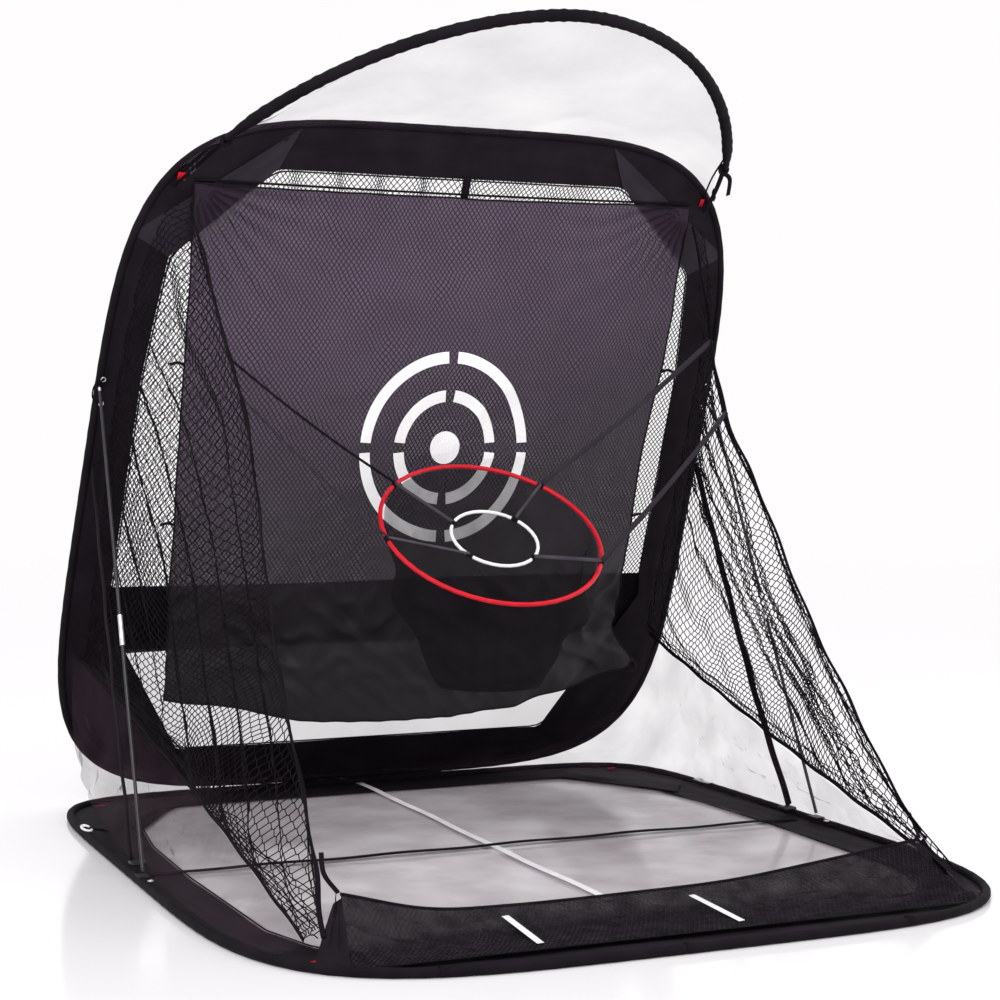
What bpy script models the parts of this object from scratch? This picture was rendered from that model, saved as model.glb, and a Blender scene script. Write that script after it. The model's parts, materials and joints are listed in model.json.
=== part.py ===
"""Pop-up golf net: flat base loop, leaning upright loop, poles, arched roof, target sheet and chipping ring.

Metres, +Z up, +Y to the rear. The origin is the middle of the base's footprint, on the floor."""

import math

import bmesh
import bpy
from mathutils import Vector
from mathutils.geometry import tessellate_polygon

# ---- driving dimensions -------------------------------------------------------------------
BASE_HALF_WIDTH = 1.070
BASE_HALF_DEPTH = 1.245
REAR_POWER = 8.0
FRONT_POWER = 4.5
SLEEVE_RADIUS = 0.012
SLEEVE_WALL = 0.0018
WIRE_RADIUS = 0.004
BORDER_THICK = 0.003
NET_THICK = 0.0015
WEB_THICK = 0.0016
TAPE_THICK = 0.001
TAPE_HEIGHT = 0.0046

LEAN = math.radians(24.9)
FOOT_Y = 1.235
FOOT_Z = 0.0255
FRAME_HALF_WIDTH = 1.045
FRAME_HEIGHT = 2.300
FRAME_TOP_POWER = 4.7
FRAME_BOTTOM_POWER = 4.9
FRAME_TAPER = 0.055

POLE_FOOT = Vector((1.050, -0.020, 0.036))
POLE_TOP = Vector((1.020, 0.600, 1.337))
POLE_RADIUS = 0.005
POLE_WALL = 0.0015
FERRULE_RADIUS = 0.0070
FERRULE_HALF = 0.045
POLE_JOINT = 0.475

ROOF_HINGE = Vector((0.886, 0.372, 1.881))
ROOF_RISE = math.radians(23.9)
ROOF_HALF_WIDTH = 0.937
ROOF_REACH = 1.411
ROOF_POWER = 1.869
ROOF_CENTRE = Vector((0.0, 0.745, 1.716))
ROOF_SLEEVE_RADIUS = 0.0165

RING_CENTRE = Vector((0.0, 0.066, 0.916))
RING_TILT = math.radians(34.8)
RING_RADIUS = 0.329
RING_TUBE = 0.0065
INNER_CENTRE = Vector((0.0, 0.044, 0.9007))
INNER_RADIUS = 0.129
INNER_TUBE = 0.005
BAG_FLOOR = Vector((0.0, 0.085, 0.470))
BAG_FLOOR_RADIUS = 0.150

# ---- materials ----------------------------------------------------------------------------
COLOURS = {
    "black_fabric": ((0.016, 0.014, 0.018, 1), 0.75, 0.0),
    "black_net": ((0.020, 0.018, 0.022, 1), 0.80, 0.0),
    "sheet_fabric": ((0.085, 0.060, 0.080, 1), 0.85, 0.0),
    "pale_mesh": ((0.42, 0.33, 0.35, 1), 0.80, 0.0),
    "white_tape": ((0.86, 0.86, 0.87, 1), 0.70, 0.0),
    "red_plastic": ((0.72, 0.01, 0.03, 1), 0.35, 0.0),
    "white_plastic": ((0.90, 0.90, 0.90, 1), 0.40, 0.0),
    "black_plastic": ((0.02, 0.02, 0.02, 1), 0.40, 0.0),
    "grey_fibreglass": ((0.10, 0.10, 0.11, 1), 0.35, 0.0),
    "silver_metal": ((0.70, 0.70, 0.72, 1), 0.30, 1.0),
    "spring_steel": ((0.35, 0.35, 0.36, 1), 0.35, 1.0),
}


def finish_object(obj, colour):
    """Give the object its own Principled material and recalculated outward normals."""
    mesh = bmesh.new()
    mesh.from_mesh(obj.data)
    bmesh.ops.recalc_face_normals(mesh, faces=mesh.faces)
    if mesh.calc_volume(signed=True) < 0:
        bmesh.ops.reverse_faces(mesh, faces=mesh.faces)
    mesh.to_mesh(obj.data)
    mesh.free()
    rgba, rough, metal = COLOURS[colour]
    material = bpy.data.materials.new(f"{obj.name}_{colour}")
    material.use_nodes = True
    shader = material.node_tree.nodes["Principled BSDF"]
    shader.inputs["Base Color"].default_value = rgba
    shader.inputs["Roughness"].default_value = rough
    shader.inputs["Metallic"].default_value = metal
    material.diffuse_color = rgba
    obj.data.materials.append(material)
    return obj


def add_mesh(name, points, faces, colour):
    data = bpy.data.meshes.new(name)
    data.from_pydata([tuple(p) for p in points], [], faces)
    obj = bpy.data.objects.new(name, data)
    bpy.context.scene.collection.objects.link(obj)
    return finish_object(obj, colour)


# ---- curves -------------------------------------------------------------------------------
def quadrant(a, b, power, count):
    """Points of |x/a|^n + |y/b|^n = 1 from (a, 0) to (0, b), evenly spaced along the curve."""
    dense = []
    for i in range(2001):
        t = math.pi / 2 * i / 2000
        dense.append((a * math.cos(t) ** (2 / power), b * math.sin(t) ** (2 / power)))
    dense[0], dense[-1] = (a, 0.0), (0.0, b)
    return resample_2d(dense, count)


def resample_2d(points, count):
    reach = [0.0]
    for p, q in zip(points, points[1:]):
        reach.append(reach[-1] + math.dist(p, q))
    out = []
    k = 0
    for i in range(count + 1):
        want = reach[-1] * i / count
        while k < len(reach) - 2 and reach[k + 1] < want:
            k += 1
        span = reach[k + 1] - reach[k] or 1.0
        f = min(1.0, max(0.0, (want - reach[k]) / span))
        out.append(tuple(u + (v - u) * f for u, v in zip(points[k], points[k + 1])))
    return out


def super_loop(a, b, power_plus, power_minus, count):
    """A closed loop of 4 * count points, counter-clockwise from (a, 0)."""
    top = quadrant(a, b, power_plus, count)
    low = quadrant(a, b, power_minus, count)
    loop = top[:-1]
    loop += [(-x, y) for x, y in reversed(top)][:-1]
    loop += [(-x, -y) for x, y in low][:-1]
    loop += [(x, -y) for x, y in reversed(low)][:-1]
    return loop


def smooth_path(points, count):
    """A Catmull-Rom curve through the points, evenly resampled."""
    pts = [Vector(p) for p in points]
    ends = [2 * pts[0] - pts[1]] + pts + [2 * pts[-1] - pts[-2]]
    dense = []
    for i in range(1, len(ends) - 2):
        p0, p1, p2, p3 = ends[i - 1 : i + 3]
        for k in range(24):
            t = k / 24
            dense.append(
                0.5
                * (
                    2 * p1
                    + (p2 - p0) * t
                    + (2 * p0 - 5 * p1 + 4 * p2 - p3) * t * t
                    + (3 * p1 - p0 - 3 * p2 + p3) * t**3
                )
            )
    dense.append(pts[-1])
    return [Vector(p) for p in resample_2d([tuple(p) for p in dense], count)]


def on_frame(x, h, off=0.0):
    """A point of the upright's leaning plane: h up the slope, off in front of it."""
    y = FOOT_Y - h * math.sin(LEAN) - off * math.cos(LEAN)
    z = FOOT_Z + h * math.cos(LEAN) - off * math.sin(LEAN)
    return Vector((x, y, z))


def on_roof(angle, shrink=0.0):
    """A point of the roof arch: angle 0 is its right end and pi its left end."""
    c, s = math.cos(angle), max(0.0, math.sin(angle))
    x = ROOF_HALF_WIDTH * math.copysign(abs(c) ** (2 / ROOF_POWER), c)
    reach = ROOF_REACH * s ** (2 / ROOF_POWER)
    out = Vector((0, -math.cos(ROOF_RISE), math.sin(ROOF_RISE)))
    point = ROOF_CENTRE + out * reach + Vector((x, 0, 0))
    if shrink:
        middle = ROOF_CENTRE + out * 0.55
        point += (middle - point).normalized() * shrink
    return point


def on_ring(radius, angle, lift=0.0, centre=RING_CENTRE):
    """A point of the tilted ring's plane: angle 0 is +X and 90 degrees its high rear."""
    c, s = math.cos(RING_TILT), math.sin(RING_TILT)
    along = Vector((0, c, s))
    normal = Vector((0, -s, c))
    across = Vector((radius * math.cos(angle), 0, 0))
    return centre + across + along * radius * math.sin(angle) + normal * lift


def on_floor(x, y, z):
    return Vector((x, y, z))


def mirrored(point, s):
    return Vector((point[0] * s, point[1], point[2]))


# ---- solids -------------------------------------------------------------------------------
def sweep(name, path, side, profile, colour, closed=False):
    """Sweep a closed (across, up) profile along the path; side(i, point) gives the across direction."""
    path = [Vector(p) for p in path]
    count = len(path)
    points = []
    for i, p in enumerate(path):
        before = path[(i - 1) % count] if closed or i else p
        after = path[(i + 1) % count] if closed or i < count - 1 else p
        tangent = (after - before).normalized()
        across = Vector(side(i, p)) if callable(side) else Vector(side)
        across = (across - tangent * across.dot(tangent)).normalized()
        up = tangent.cross(across)
        points += [p + across * a + up * b for a, b in profile]
    m = len(profile)
    faces = []
    for i in range(count if closed else count - 1):
        j = (i + 1) % count
        for k in range(m):
            n = (k + 1) % m
            faces.append((i * m + k, i * m + n, j * m + n, j * m + k))
    if not closed:
        faces.append(tuple(range(m)))
        faces.append(tuple((count - 1) * m + k for k in range(m)))
    return add_mesh(name, points, faces, colour)


def round_profile(radius, sides):
    return [
        (radius * math.cos(2 * math.pi * k / sides), radius * math.sin(2 * math.pi * k / sides))
        for k in range(sides)
    ]


def open_sleeve_profile(outer, wall, sides, slot_deg=24):
    """A C section whose seam faces -across, so a wire can lie inside without a sealed hollow."""
    half = math.pi - math.radians(slot_deg) / 2
    angles = [-half + 2 * half * k / sides for k in range(sides + 1)]
    ring = [(outer * math.cos(a), outer * math.sin(a)) for a in angles]
    ring += [((outer - wall) * math.cos(a), (outer - wall) * math.sin(a)) for a in reversed(angles)]
    return ring


def flat_profile(width, thick):
    w, t = width / 2, thick / 2
    return [(-w, -t), (w, -t), (w, t), (-w, t)]


def tube(name, path, radius, colour, sides=8, closed=False, side=(0.0, 0.0, 1.0)):
    return sweep(name, path, side, round_profile(radius, sides), colour, closed)


def strap(name, path, side, width, colour, thick=WEB_THICK):
    return sweep(name, path, side, flat_profile(width, thick), colour)


def plate(name, loops, low, high, place, colour):
    """A flat piece bounded by 2-D loops (outer, then holes), from low to high, put in space by place."""
    flat = [Vector((x, y, 0)) for loop in loops for x, y in loop]
    count = len(flat)
    faces = []
    for a, b, c in tessellate_polygon([[Vector((x, y, 0)) for x, y in loop] for loop in loops]):
        faces.append((a, b, c))
        faces.append((c + count, b + count, a + count))
    start = 0
    for loop in loops:
        n = len(loop)
        for k in range(n):
            i, j = start + k, start + (k + 1) % n
            faces.append((i, j, j + count, i + count))
        start += n
    points = [place(p.x, p.y, low) for p in flat] + [place(p.x, p.y, high) for p in flat]
    return add_mesh(name, points, faces, colour)


def two_sided(a, b, c, d, step):
    """A cell's two faces on one skin, and the same two turned over on the skin step points later."""
    return [(a, b, c), (a, c, d), (c + step, b + step, a + step), (d + step, c + step, a + step)]


def cloth(name, rows, thick, colour):
    """A thin closed sheet around a grid of points."""
    m, n = len(rows), len(rows[0])
    grid = [[Vector(p) for p in row] for row in rows]
    tops, lows = [], []
    for i in range(m):
        for j in range(n):
            du = grid[i][min(j + 1, n - 1)] - grid[i][max(j - 1, 0)]
            dv = grid[min(i + 1, m - 1)][j] - grid[max(i - 1, 0)][j]
            normal = du.cross(dv).normalized() * (thick / 2)
            tops.append(grid[i][j] + normal)
            lows.append(grid[i][j] - normal)
    size = m * n
    faces = []
    for i in range(m - 1):
        for j in range(n - 1):
            a, b, c, d = i * n + j, i * n + j + 1, (i + 1) * n + j + 1, (i + 1) * n + j
            faces += two_sided(a, b, c, d, size)
    rim = [j for j in range(n)] + [i * n + n - 1 for i in range(1, m)]
    rim += [(m - 1) * n + j for j in range(n - 2, -1, -1)] + [i * n for i in range(m - 2, 0, -1)]
    for a, b in zip(rim, rim[1:] + rim[:1]):
        faces.append((a, b, b + size, a + size))
    return add_mesh(name, tops + lows, faces, colour)


def patch(name, corners, thick, colour):
    """A flat piece of cloth with the given corners."""
    corners = [Vector(c) for c in corners]
    normal = (corners[1] - corners[0]).cross(corners[2] - corners[0]).normalized() * thick
    count = len(corners)
    faces = [tuple(range(count)), tuple(count + k for k in range(count - 1, -1, -1))]
    for k in range(count):
        n = (k + 1) % count
        faces.append((k, k + count, n + count, n))
    return add_mesh(name, corners + [c + normal for c in corners], faces, colour)


def mix(a, b, t):
    return Vector(a) + (Vector(b) - Vector(a)) * t


# ---- base ---------------------------------------------------------------------------------
BASE_WINDOW = [
    (0.685, 1.045), (0.865, 0.790), (0.910, 0.445), (0.920, 0.0), (0.905, -0.655),
    (0.850, -0.855), (0.700, -1.025), (0.350, -1.070),
]


def mirror_loop(points):
    """A loop symmetric about x = 0 from its right-hand points, top to bottom."""
    return [(x, y) for x, y in points] + [(-x, y) for x, y in reversed(points)]


def base_line(inset, count=16):
    a = BASE_HALF_WIDTH - SLEEVE_RADIUS - inset
    b = BASE_HALF_DEPTH - SLEEVE_RADIUS - inset
    return super_loop(a, b, REAR_POWER, FRONT_POWER, count)


def outward_2d(loop, i):
    (x0, y0), (x1, y1) = loop[i - 1], loop[(i + 1) % len(loop)]
    return Vector((y1 - y0, x0 - x1, 0)).normalized()


def build_base_loop():
    loop = base_line(0.0, 18)
    path = [(x, y, SLEEVE_RADIUS) for x, y in loop]

    def side(i, p):
        return outward_2d(loop, i)

    sleeve = open_sleeve_profile(SLEEVE_RADIUS, SLEEVE_WALL, 8)
    sweep("base_sleeve", path, side, sleeve, "black_fabric", True)
    sweep("base_loop_wire", path, side, round_profile(WIRE_RADIUS, 6), "spring_steel", True)
    border = [base_line(0.0132, 14), mirror_loop(BASE_WINDOW)]
    plate("base_border", border, 0.0, BORDER_THICK, on_floor, "black_fabric")
    inner = [(x * 0.998, y * 0.998) for x, y in BASE_WINDOW]
    plate("floor_mesh", [mirror_loop(inner)], 0.0004, 0.0014, on_floor, "pale_mesh")


def build_base_strips():
    across = (1.0, 0.0, 0.0)
    tapes = (
        ("centre", 0.0, (1.215, 0.2, -0.700), 0.026),
        ("left", -0.338, (-0.79, -0.90, -1.01), 0.024),
        ("right", 0.195, (-0.79, -0.90, -1.01), 0.024),
    )
    for word, x, stations, width in tapes:
        path = [(x, y, TAPE_HEIGHT) for y in stations]
        strap(f"floor_tape_{word}", path, across, width, "white_tape", TAPE_THICK)
    path = [(x, 0.055, 0.0068) for x in (-1.0, 0.0, 1.0)]
    strap("base_cross_strap", path, (0, 1, 0), 0.030, "black_fabric")
    for number, x in enumerate((-0.660, -0.060, 0.560), 1):
        y = front_edge_y(x)
        radius = SLEEVE_RADIUS + 0.0040
        path = []
        for k in range(7):
            angle = math.radians(55 + 90 * k / 6)
            path.append((x, y - radius * math.cos(angle), SLEEVE_RADIUS + radius * math.sin(angle)))
        strap(f"front_wrap_tab_{number}", path, across, 0.022, "black_fabric", TAPE_THICK)


def front_edge_y(x):
    """The front sleeve's centre line at x."""
    a = BASE_HALF_WIDTH - SLEEVE_RADIUS
    b = BASE_HALF_DEPTH - SLEEVE_RADIUS
    return -b * (1 - abs(x / a) ** FRONT_POWER) ** (1 / FRONT_POWER)


# ---- the lip at the front ------------------------------------------------------------------
LIP_CORD = [
    (-0.800, -0.905, 0.137), (-0.575, -0.885, 0.078), (-0.340, -0.850, 0.057), (0.0, -0.830, 0.053),
    (0.270, -0.840, 0.062), (0.500, -0.865, 0.091), (0.800, -0.905, 0.137),
]


def build_lip():
    cord = smooth_path(LIP_CORD, 16)
    tube("lip_cord", cord, 0.004, "black_fabric", 6)
    rows = []
    for k in range(4):
        t = k / 3
        row = []
        for p in smooth_path(LIP_CORD, 12):
            low = Vector((p.x, -1.085, 0.0056))
            high = p + Vector((0, -0.007, -0.002))
            row.append(mix(low, high, t))
        rows.append(row)
    cloth("lip_mesh", rows, NET_THICK, "black_net")
    for word, s in (("left", -1), ("right", 1)):
        post = [(s * 0.812, -0.905, 0.132), (s * 0.832, -0.960, 0.070), (s * 0.850, -1.010, 0.012)]
        strap(f"lip_post_{word}", post, (s * 0.3, -1, 0), 0.022, "black_fabric")
        corners = [(s * 0.866, -0.935, 0.112), (s * 0.925, -0.985, 0.010), (s * 0.880, -1.060, 0.010)]
        patch(f"lip_gusset_{word}", corners, 0.002, "black_fabric")


# ---- side nets, skirts and webbings ---------------------------------------------------------
FRONT_WEB = [
    (0.812, 0.345, 1.855), (0.795, 0.169, 1.530), (0.777, 0.101, 1.410), (0.766, -0.165, 1.060),
    (0.788, -0.433, 0.670), (0.794, -0.617, 0.440), (0.803, -0.795, 0.217), (0.870, -0.985, 0.060),
]
NET_REAR = [(0.985, 0.560), (0.980, 1.000), (0.965, 1.500), (0.930, 1.820), (0.870, 2.020)]
LOWER_REAR = Vector((1.000, 0.985, 0.500))
LOWER_FRONT = Vector((0.897, -0.925, 0.046))
LOWER_DRAW = 0.020


def behind(path, gap):
    """The path moved towards the rear, square to its own run."""
    out = []
    for k, p in enumerate(path):
        run = path[min(k + 1, len(path) - 1)] - path[max(k - 1, 0)]
        out.append(p + Vector((0, -run.z, run.y)).normalized() * gap)
    return out


def build_side(word, s):
    front = [mirrored(p, s) for p in smooth_path(FRONT_WEB, 18)]
    strap(f"front_webbing_{word}", front, (0, 1, 0.5), 0.014, "black_fabric", 0.003)
    rear = [mirrored(p, s) for p in smooth_path([on_frame(x, h, 0.020) for x, h in NET_REAR], 10)]
    fore = [mirrored(p, s) for p in behind(smooth_path(FRONT_WEB, 10), 0.014)][::-1]
    rows = []
    for k in range(9):
        t = k / 8
        rows.append([mix(rear[j], fore[j], t) for j in range(11)])
    cloth(f"side_net_{word}", rows, NET_THICK, "black_net")
    low = [mix(LOWER_REAR, LOWER_FRONT, k / 8) for k in range(9)]
    for k, p in enumerate(low):
        p.x -= LOWER_DRAW * math.sin(math.pi * k / 8)
    low = [mirrored(p, s) for p in low]
    strap(f"lower_webbing_{word}", low, (0, 0.1, 1), 0.014, "black_fabric", 0.003)
    top = [p - Vector((0, 0, 0.012)) for p in low]
    foot = []
    for k in range(9):
        y = 1.000 - (1.000 + 0.900) * k / 8
        foot.append(Vector((s * skirt_x(y), y, 0.0055)))
    rows = [[mix(top[j], foot[j], t / 3) for j in range(9)] for t in range(4)]
    cloth(f"skirt_{word}", rows, NET_THICK, "pale_mesh")


def skirt_x(y):
    """The skirt's foot runs on the border, 30 mm inside the base sleeve."""
    a, b = BASE_HALF_WIDTH - 0.045, BASE_HALF_DEPTH - 0.045
    power = REAR_POWER if y > 0 else FRONT_POWER
    return a * (1 - abs(y / b) ** power) ** (1 / power)


TENSION_LINE = [(1.022, 0.700, 1.100), (1.027, 0.575, 0.850), (1.035, 0.348, 0.407), (1.045, 0.130, 0.036)]


def build_tension_strap(word, s):
    path = [mirrored(p, s) for p in TENSION_LINE]
    strap(f"tension_strap_{word}", path, (0, 1, 0), 0.036, "black_fabric")


# ---- poles ----------------------------------------------------------------------------------
def hollow_profile_tube(name, start, end, outer, inner, colour, sides=12):
    """A straight pipe, open at both ends."""
    axis = (end - start).normalized()
    across = axis.cross(Vector((0, 0, 1))).normalized()
    up = axis.cross(across)
    points = []
    for end_point in (start, end):
        for radius in (outer, inner):
            for k in range(sides):
                angle = 2 * math.pi * k / sides
                points.append(end_point + across * radius * math.cos(angle) + up * radius * math.sin(angle))
    faces = []
    for k in range(sides):
        n = (k + 1) % sides
        o0, i0, o1, i1 = 0, sides, 2 * sides, 3 * sides
        faces.append((o0 + k, o0 + n, o1 + n, o1 + k))
        faces.append((i0 + n, i0 + k, i1 + k, i1 + n))
        faces.append((o0 + n, o0 + k, i0 + k, i0 + n))
        faces.append((o1 + k, o1 + n, i1 + n, i1 + k))
    return add_mesh(name, points, faces, colour)


def build_pole(word, s):
    foot, top = mirrored(POLE_FOOT, s), mirrored(POLE_TOP, s)
    middle = mix(foot, top, POLE_JOINT)
    axis = (top - foot).normalized()
    bore = POLE_RADIUS - POLE_WALL
    pipes = (
        ("lower", foot + axis * 0.012, middle - axis * 0.0005, POLE_RADIUS, bore, "grey_fibreglass"),
        ("upper", middle + axis * 0.0005, top - axis * 0.012, POLE_RADIUS, bore, "grey_fibreglass"),
        ("ferrule", middle - axis * FERRULE_HALF, middle + axis * FERRULE_HALF,
         FERRULE_RADIUS, POLE_RADIUS + 0.0004, "silver_metal"),
    )
    for part, start, end, outer, inner, colour in pipes:
        hollow_profile_tube(f"pole_{part}_{word}", start, end, outer, inner, colour)
    ends = (
        ("foot", foot + axis * 0.0005, foot + axis * 0.0115, "black_plastic"),
        ("tip", top - axis * 0.0115, top, "silver_metal"),
    )
    for part, start, end, colour in ends:
        tube(f"pole_{part}_{word}", [start, end], POLE_RADIUS, colour, 12, side=(1, 0, 0))
    names = [f"pole_{part}_{word}" for part in ("lower", "upper", "ferrule", "foot", "tip")]
    parent_to_pivot(f"pole_pivot_{word}", foot, names)
    x0, x1, y0, y1 = s * 1.036, s * 1.066, POLE_FOOT.y - 0.025, POLE_FOOT.y + 0.025
    pad = [(x0, y0), (x1, y0), (x1, y1), (x0, y1)]
    plate(f"pole_socket_{word}", [pad], 0.0245, 0.0262, on_floor, "black_plastic")


# ---- upright ----------------------------------------------------------------------------------
FRAME_WINDOW = [
    (0.560, 2.140), (0.620, 2.090), (0.850, 1.867), (0.893, 1.490), (0.920, 0.780),
    (0.935, 0.690), (0.817, 0.295), (0.650, 0.160),
]


def frame_line(inset, count=16):
    """The upright loop's outline in (x, h), its centre line drawn in by inset."""
    half = FRAME_HEIGHT / 2
    a, b = FRAME_HALF_WIDTH - SLEEVE_RADIUS - inset, half - SLEEVE_RADIUS - inset
    loop = super_loop(a, b, FRAME_TOP_POWER, FRAME_BOTTOM_POWER, count)
    return [(x * (1 - FRAME_TAPER * y / half), y + half) for x, y in loop]


def build_upright():
    loop = frame_line(0.0, 18)
    path = [on_frame(x, h) for x, h in loop]

    def side(i, p):
        flat = outward_2d(loop, i)
        return on_frame(flat.x, flat.y) - on_frame(0, 0)

    sleeve = open_sleeve_profile(SLEEVE_RADIUS, SLEEVE_WALL, 8)
    sweep("upright_sleeve", path, side, sleeve, "black_fabric", True)
    sweep("upright_loop_wire", path, side, round_profile(WIRE_RADIUS, 6), "spring_steel", True)
    border = [frame_line(0.0132, 14), mirror_loop(FRAME_WINDOW)]
    plate("upright_border", border, -BORDER_THICK / 2, BORDER_THICK / 2, on_frame, "black_fabric")
    net = mirror_loop([(x * 1.01, 1.15 + (h - 1.15) * 1.01) for x, h in FRAME_WINDOW])
    plate("back_net", [net], -0.0036, -0.0024, on_frame, "black_net")
    band = [(-0.95, 0.530), (0.95, 0.530), (0.95, 0.765), (-0.95, 0.765)]
    plate("back_band", [band], -0.0062, -0.0046, on_frame, "black_fabric")
    line = [on_frame(x, 2.125, 0.0075) for x in (-0.80, -0.4, 0, 0.4, 0.80)]
    tube("sheet_top_cord", line, 0.003, "black_fabric", 6)


# ---- target sheet -------------------------------------------------------------------------------
SHEET_LINE = [
    (0.800, 0.345, 1.917), (0.790, 0.479, 1.470), (0.780, 0.655, 1.050), (0.770, 0.780, 0.600),
    (0.765, 0.880, 0.372),
]
SHEET_BELLY = 0.012
SHEET_DROOP = 0.085


def build_sheet():
    rows = []
    for i, p in enumerate(smooth_path(SHEET_LINE, 10)):
        droop = SHEET_DROOP * (i / 10) ** 3
        row = []
        for k in range(13):
            swell = math.sin(math.pi * k / 12)
            row.append((p.x * (k / 6 - 1), p.y - SHEET_BELLY * swell, p.z - droop * swell))
        rows.append(row)
    cloth("target_sheet", rows, 0.002, "sheet_fabric")


# ---- roof -----------------------------------------------------------------------------------------
ROOF_START = math.radians(34)


def roof_arch(count, start=ROOF_START, shrink=0.0):
    return [on_roof(start + (math.pi - 2 * start) * k / count, shrink) for k in range(count + 1)]


def build_roof():
    rise = Vector((0, math.sin(ROOF_RISE), math.cos(ROOF_RISE)))
    path = roof_arch(28)

    def side(i, p):
        before, after = path[max(0, i - 1)], path[min(len(path) - 1, i + 1)]
        return (after - before).cross(rise)

    sweep("roof_sleeve", path, side, open_sleeve_profile(ROOF_SLEEVE_RADIUS, 0.002, 8), "black_fabric")
    sweep("roof_rod", path, side, round_profile(0.0045, 6), "grey_fibreglass")
    inner = roof_arch(16, ROOF_START + math.radians(2), ROOF_SLEEVE_RADIUS + 0.006)
    rows = []
    for k in range(7):
        t = k / 6
        row = []
        for j, p in enumerate(inner):
            x = 0.83 * math.cos(math.pi * j / 16)
            h = 2.262 - 0.16 * abs(x / 0.83) ** 4
            row.append(mix(p, on_frame(x, h, 0.016), t))
        rows.append(row)
    cloth("roof_mesh", rows, NET_THICK, "pale_mesh")
    for word, end, s in (("left", path[-1], -1), ("right", path[0], 1)):
        build_roof_strap(word, end, s)


def build_roof_strap(word, end, s):
    """The strap from the frame's corner to the arch's end, with its ladder-lock buckle."""
    corner = Vector((s * 0.860, 0.352, 1.905))
    away = (end - corner).normalized()
    stop = end - away * 0.004
    strap(f"roof_strap_{word}", [corner, mix(corner, stop, 0.5), stop], (0, 0.4, 1), 0.020, "black_fabric")
    middle = mix(corner, end, 0.35)
    outward = Vector((s, 0, 0))
    outward = (outward - away * outward.dot(away)).normalized()
    up = away.cross(outward)

    def place(x, y, z):
        return middle + up * x + away * y + outward * (z + 0.004)

    frame = [(-0.016, -0.014), (0.016, -0.014), (0.016, 0.014), (-0.016, 0.014)]
    hole = [(-0.011, -0.009), (-0.011, 0.009), (0.011, 0.009), (0.011, -0.009)]
    plate(f"roof_buckle_{word}", [frame, hole], 0.0, 0.003, place, "black_plastic")


# ---- chipping ring ------------------------------------------------------------------------------------
# Each strap: its angle on the inner hoop, its angle on the ring, and its outer end on the front webbing.
RING_STRAPS = {
    "front_left": (216, 184, (-0.762, 0.010, 1.290)),
    "front_right": (312, 332, (0.762, 0.010, 1.290)),
    "rear_left": (146, 134, (-0.767, 0.125, 1.440)),
    "rear_right": (42, 43, (0.767, 0.125, 1.440)),
}


def ring_circle(radius, count, centre):
    return [on_ring(radius, 2 * math.pi * k / count, 0.0, centre) for k in range(count)]


def build_ring():
    normal = Vector((0, -math.sin(RING_TILT), math.cos(RING_TILT)))
    ring = ring_circle(RING_RADIUS, 48, RING_CENTRE)
    tube("ring_hoop", ring, RING_TUBE, "red_plastic", 10, True, side=normal)
    inner = ring_circle(INNER_RADIUS, 32, INNER_CENTRE)
    tube("inner_hoop", inner, INNER_TUBE, "white_plastic", 8, True, side=normal)
    build_bag()
    for word, (near_angle, over_angle, out) in RING_STRAPS.items():
        near = on_ring(INNER_RADIUS + 0.010, math.radians(near_angle), 0.0122, INNER_CENTRE)
        over = on_ring(RING_RADIUS, math.radians(over_angle), 0.0200)
        run = Vector(out) - near
        across = (-run.y, run.x, 0)
        path = [near, over, mix(over, out, 0.5), Vector(out)]
        strap(f"ring_strap_{word}", path, across, 0.014, "black_fabric")


def build_bag(sides=28, levels=6, wall=0.0015):
    """The net bag under the ring: a tapering tube with a closed floor, hung from inside the hoop."""
    mouth = RING_RADIUS - RING_TUBE - 0.004
    points = []
    for skin in (0.0, wall):
        for k in range(levels + 1):
            t = k / levels
            radius = mouth + (BAG_FLOOR_RADIUS - mouth) * t**0.8 - skin
            for j in range(sides):
                angle = 2 * math.pi * j / sides
                top = on_ring(radius, angle)
                low = BAG_FLOOR + Vector((radius * math.cos(angle), radius * math.sin(angle), 0))
                point = mix(top, low, t)
                if k == levels:
                    point.z += skin
                points.append(point)
    faces = []
    skin_size = (levels + 1) * sides
    for k in range(levels):
        for j in range(sides):
            n = (j + 1) % sides
            a, b, c, d = k * sides + j, k * sides + n, (k + 1) * sides + n, (k + 1) * sides + j
            faces += two_sided(a, b, c, d, skin_size)
    for j in range(sides):
        n = (j + 1) % sides
        faces.append((j, n, n + skin_size, j + skin_size))
    faces.append(tuple(levels * sides + j for j in range(sides)))
    faces.append(tuple(skin_size + levels * sides + j for j in range(sides)))
    add_mesh("ring_bag", points, faces, "black_net")


def parent_to_pivot(pivot_name, location, names):
    """Group a moving body's pieces under an empty that sits on its joint axis."""
    pivot = bpy.data.objects.new(pivot_name, None)
    pivot.location = location
    bpy.context.scene.collection.objects.link(pivot)
    for name in names:
        piece = bpy.data.objects[name]
        piece.parent = pivot
        piece.matrix_parent_inverse = pivot.matrix_basis.inverted()


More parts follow.
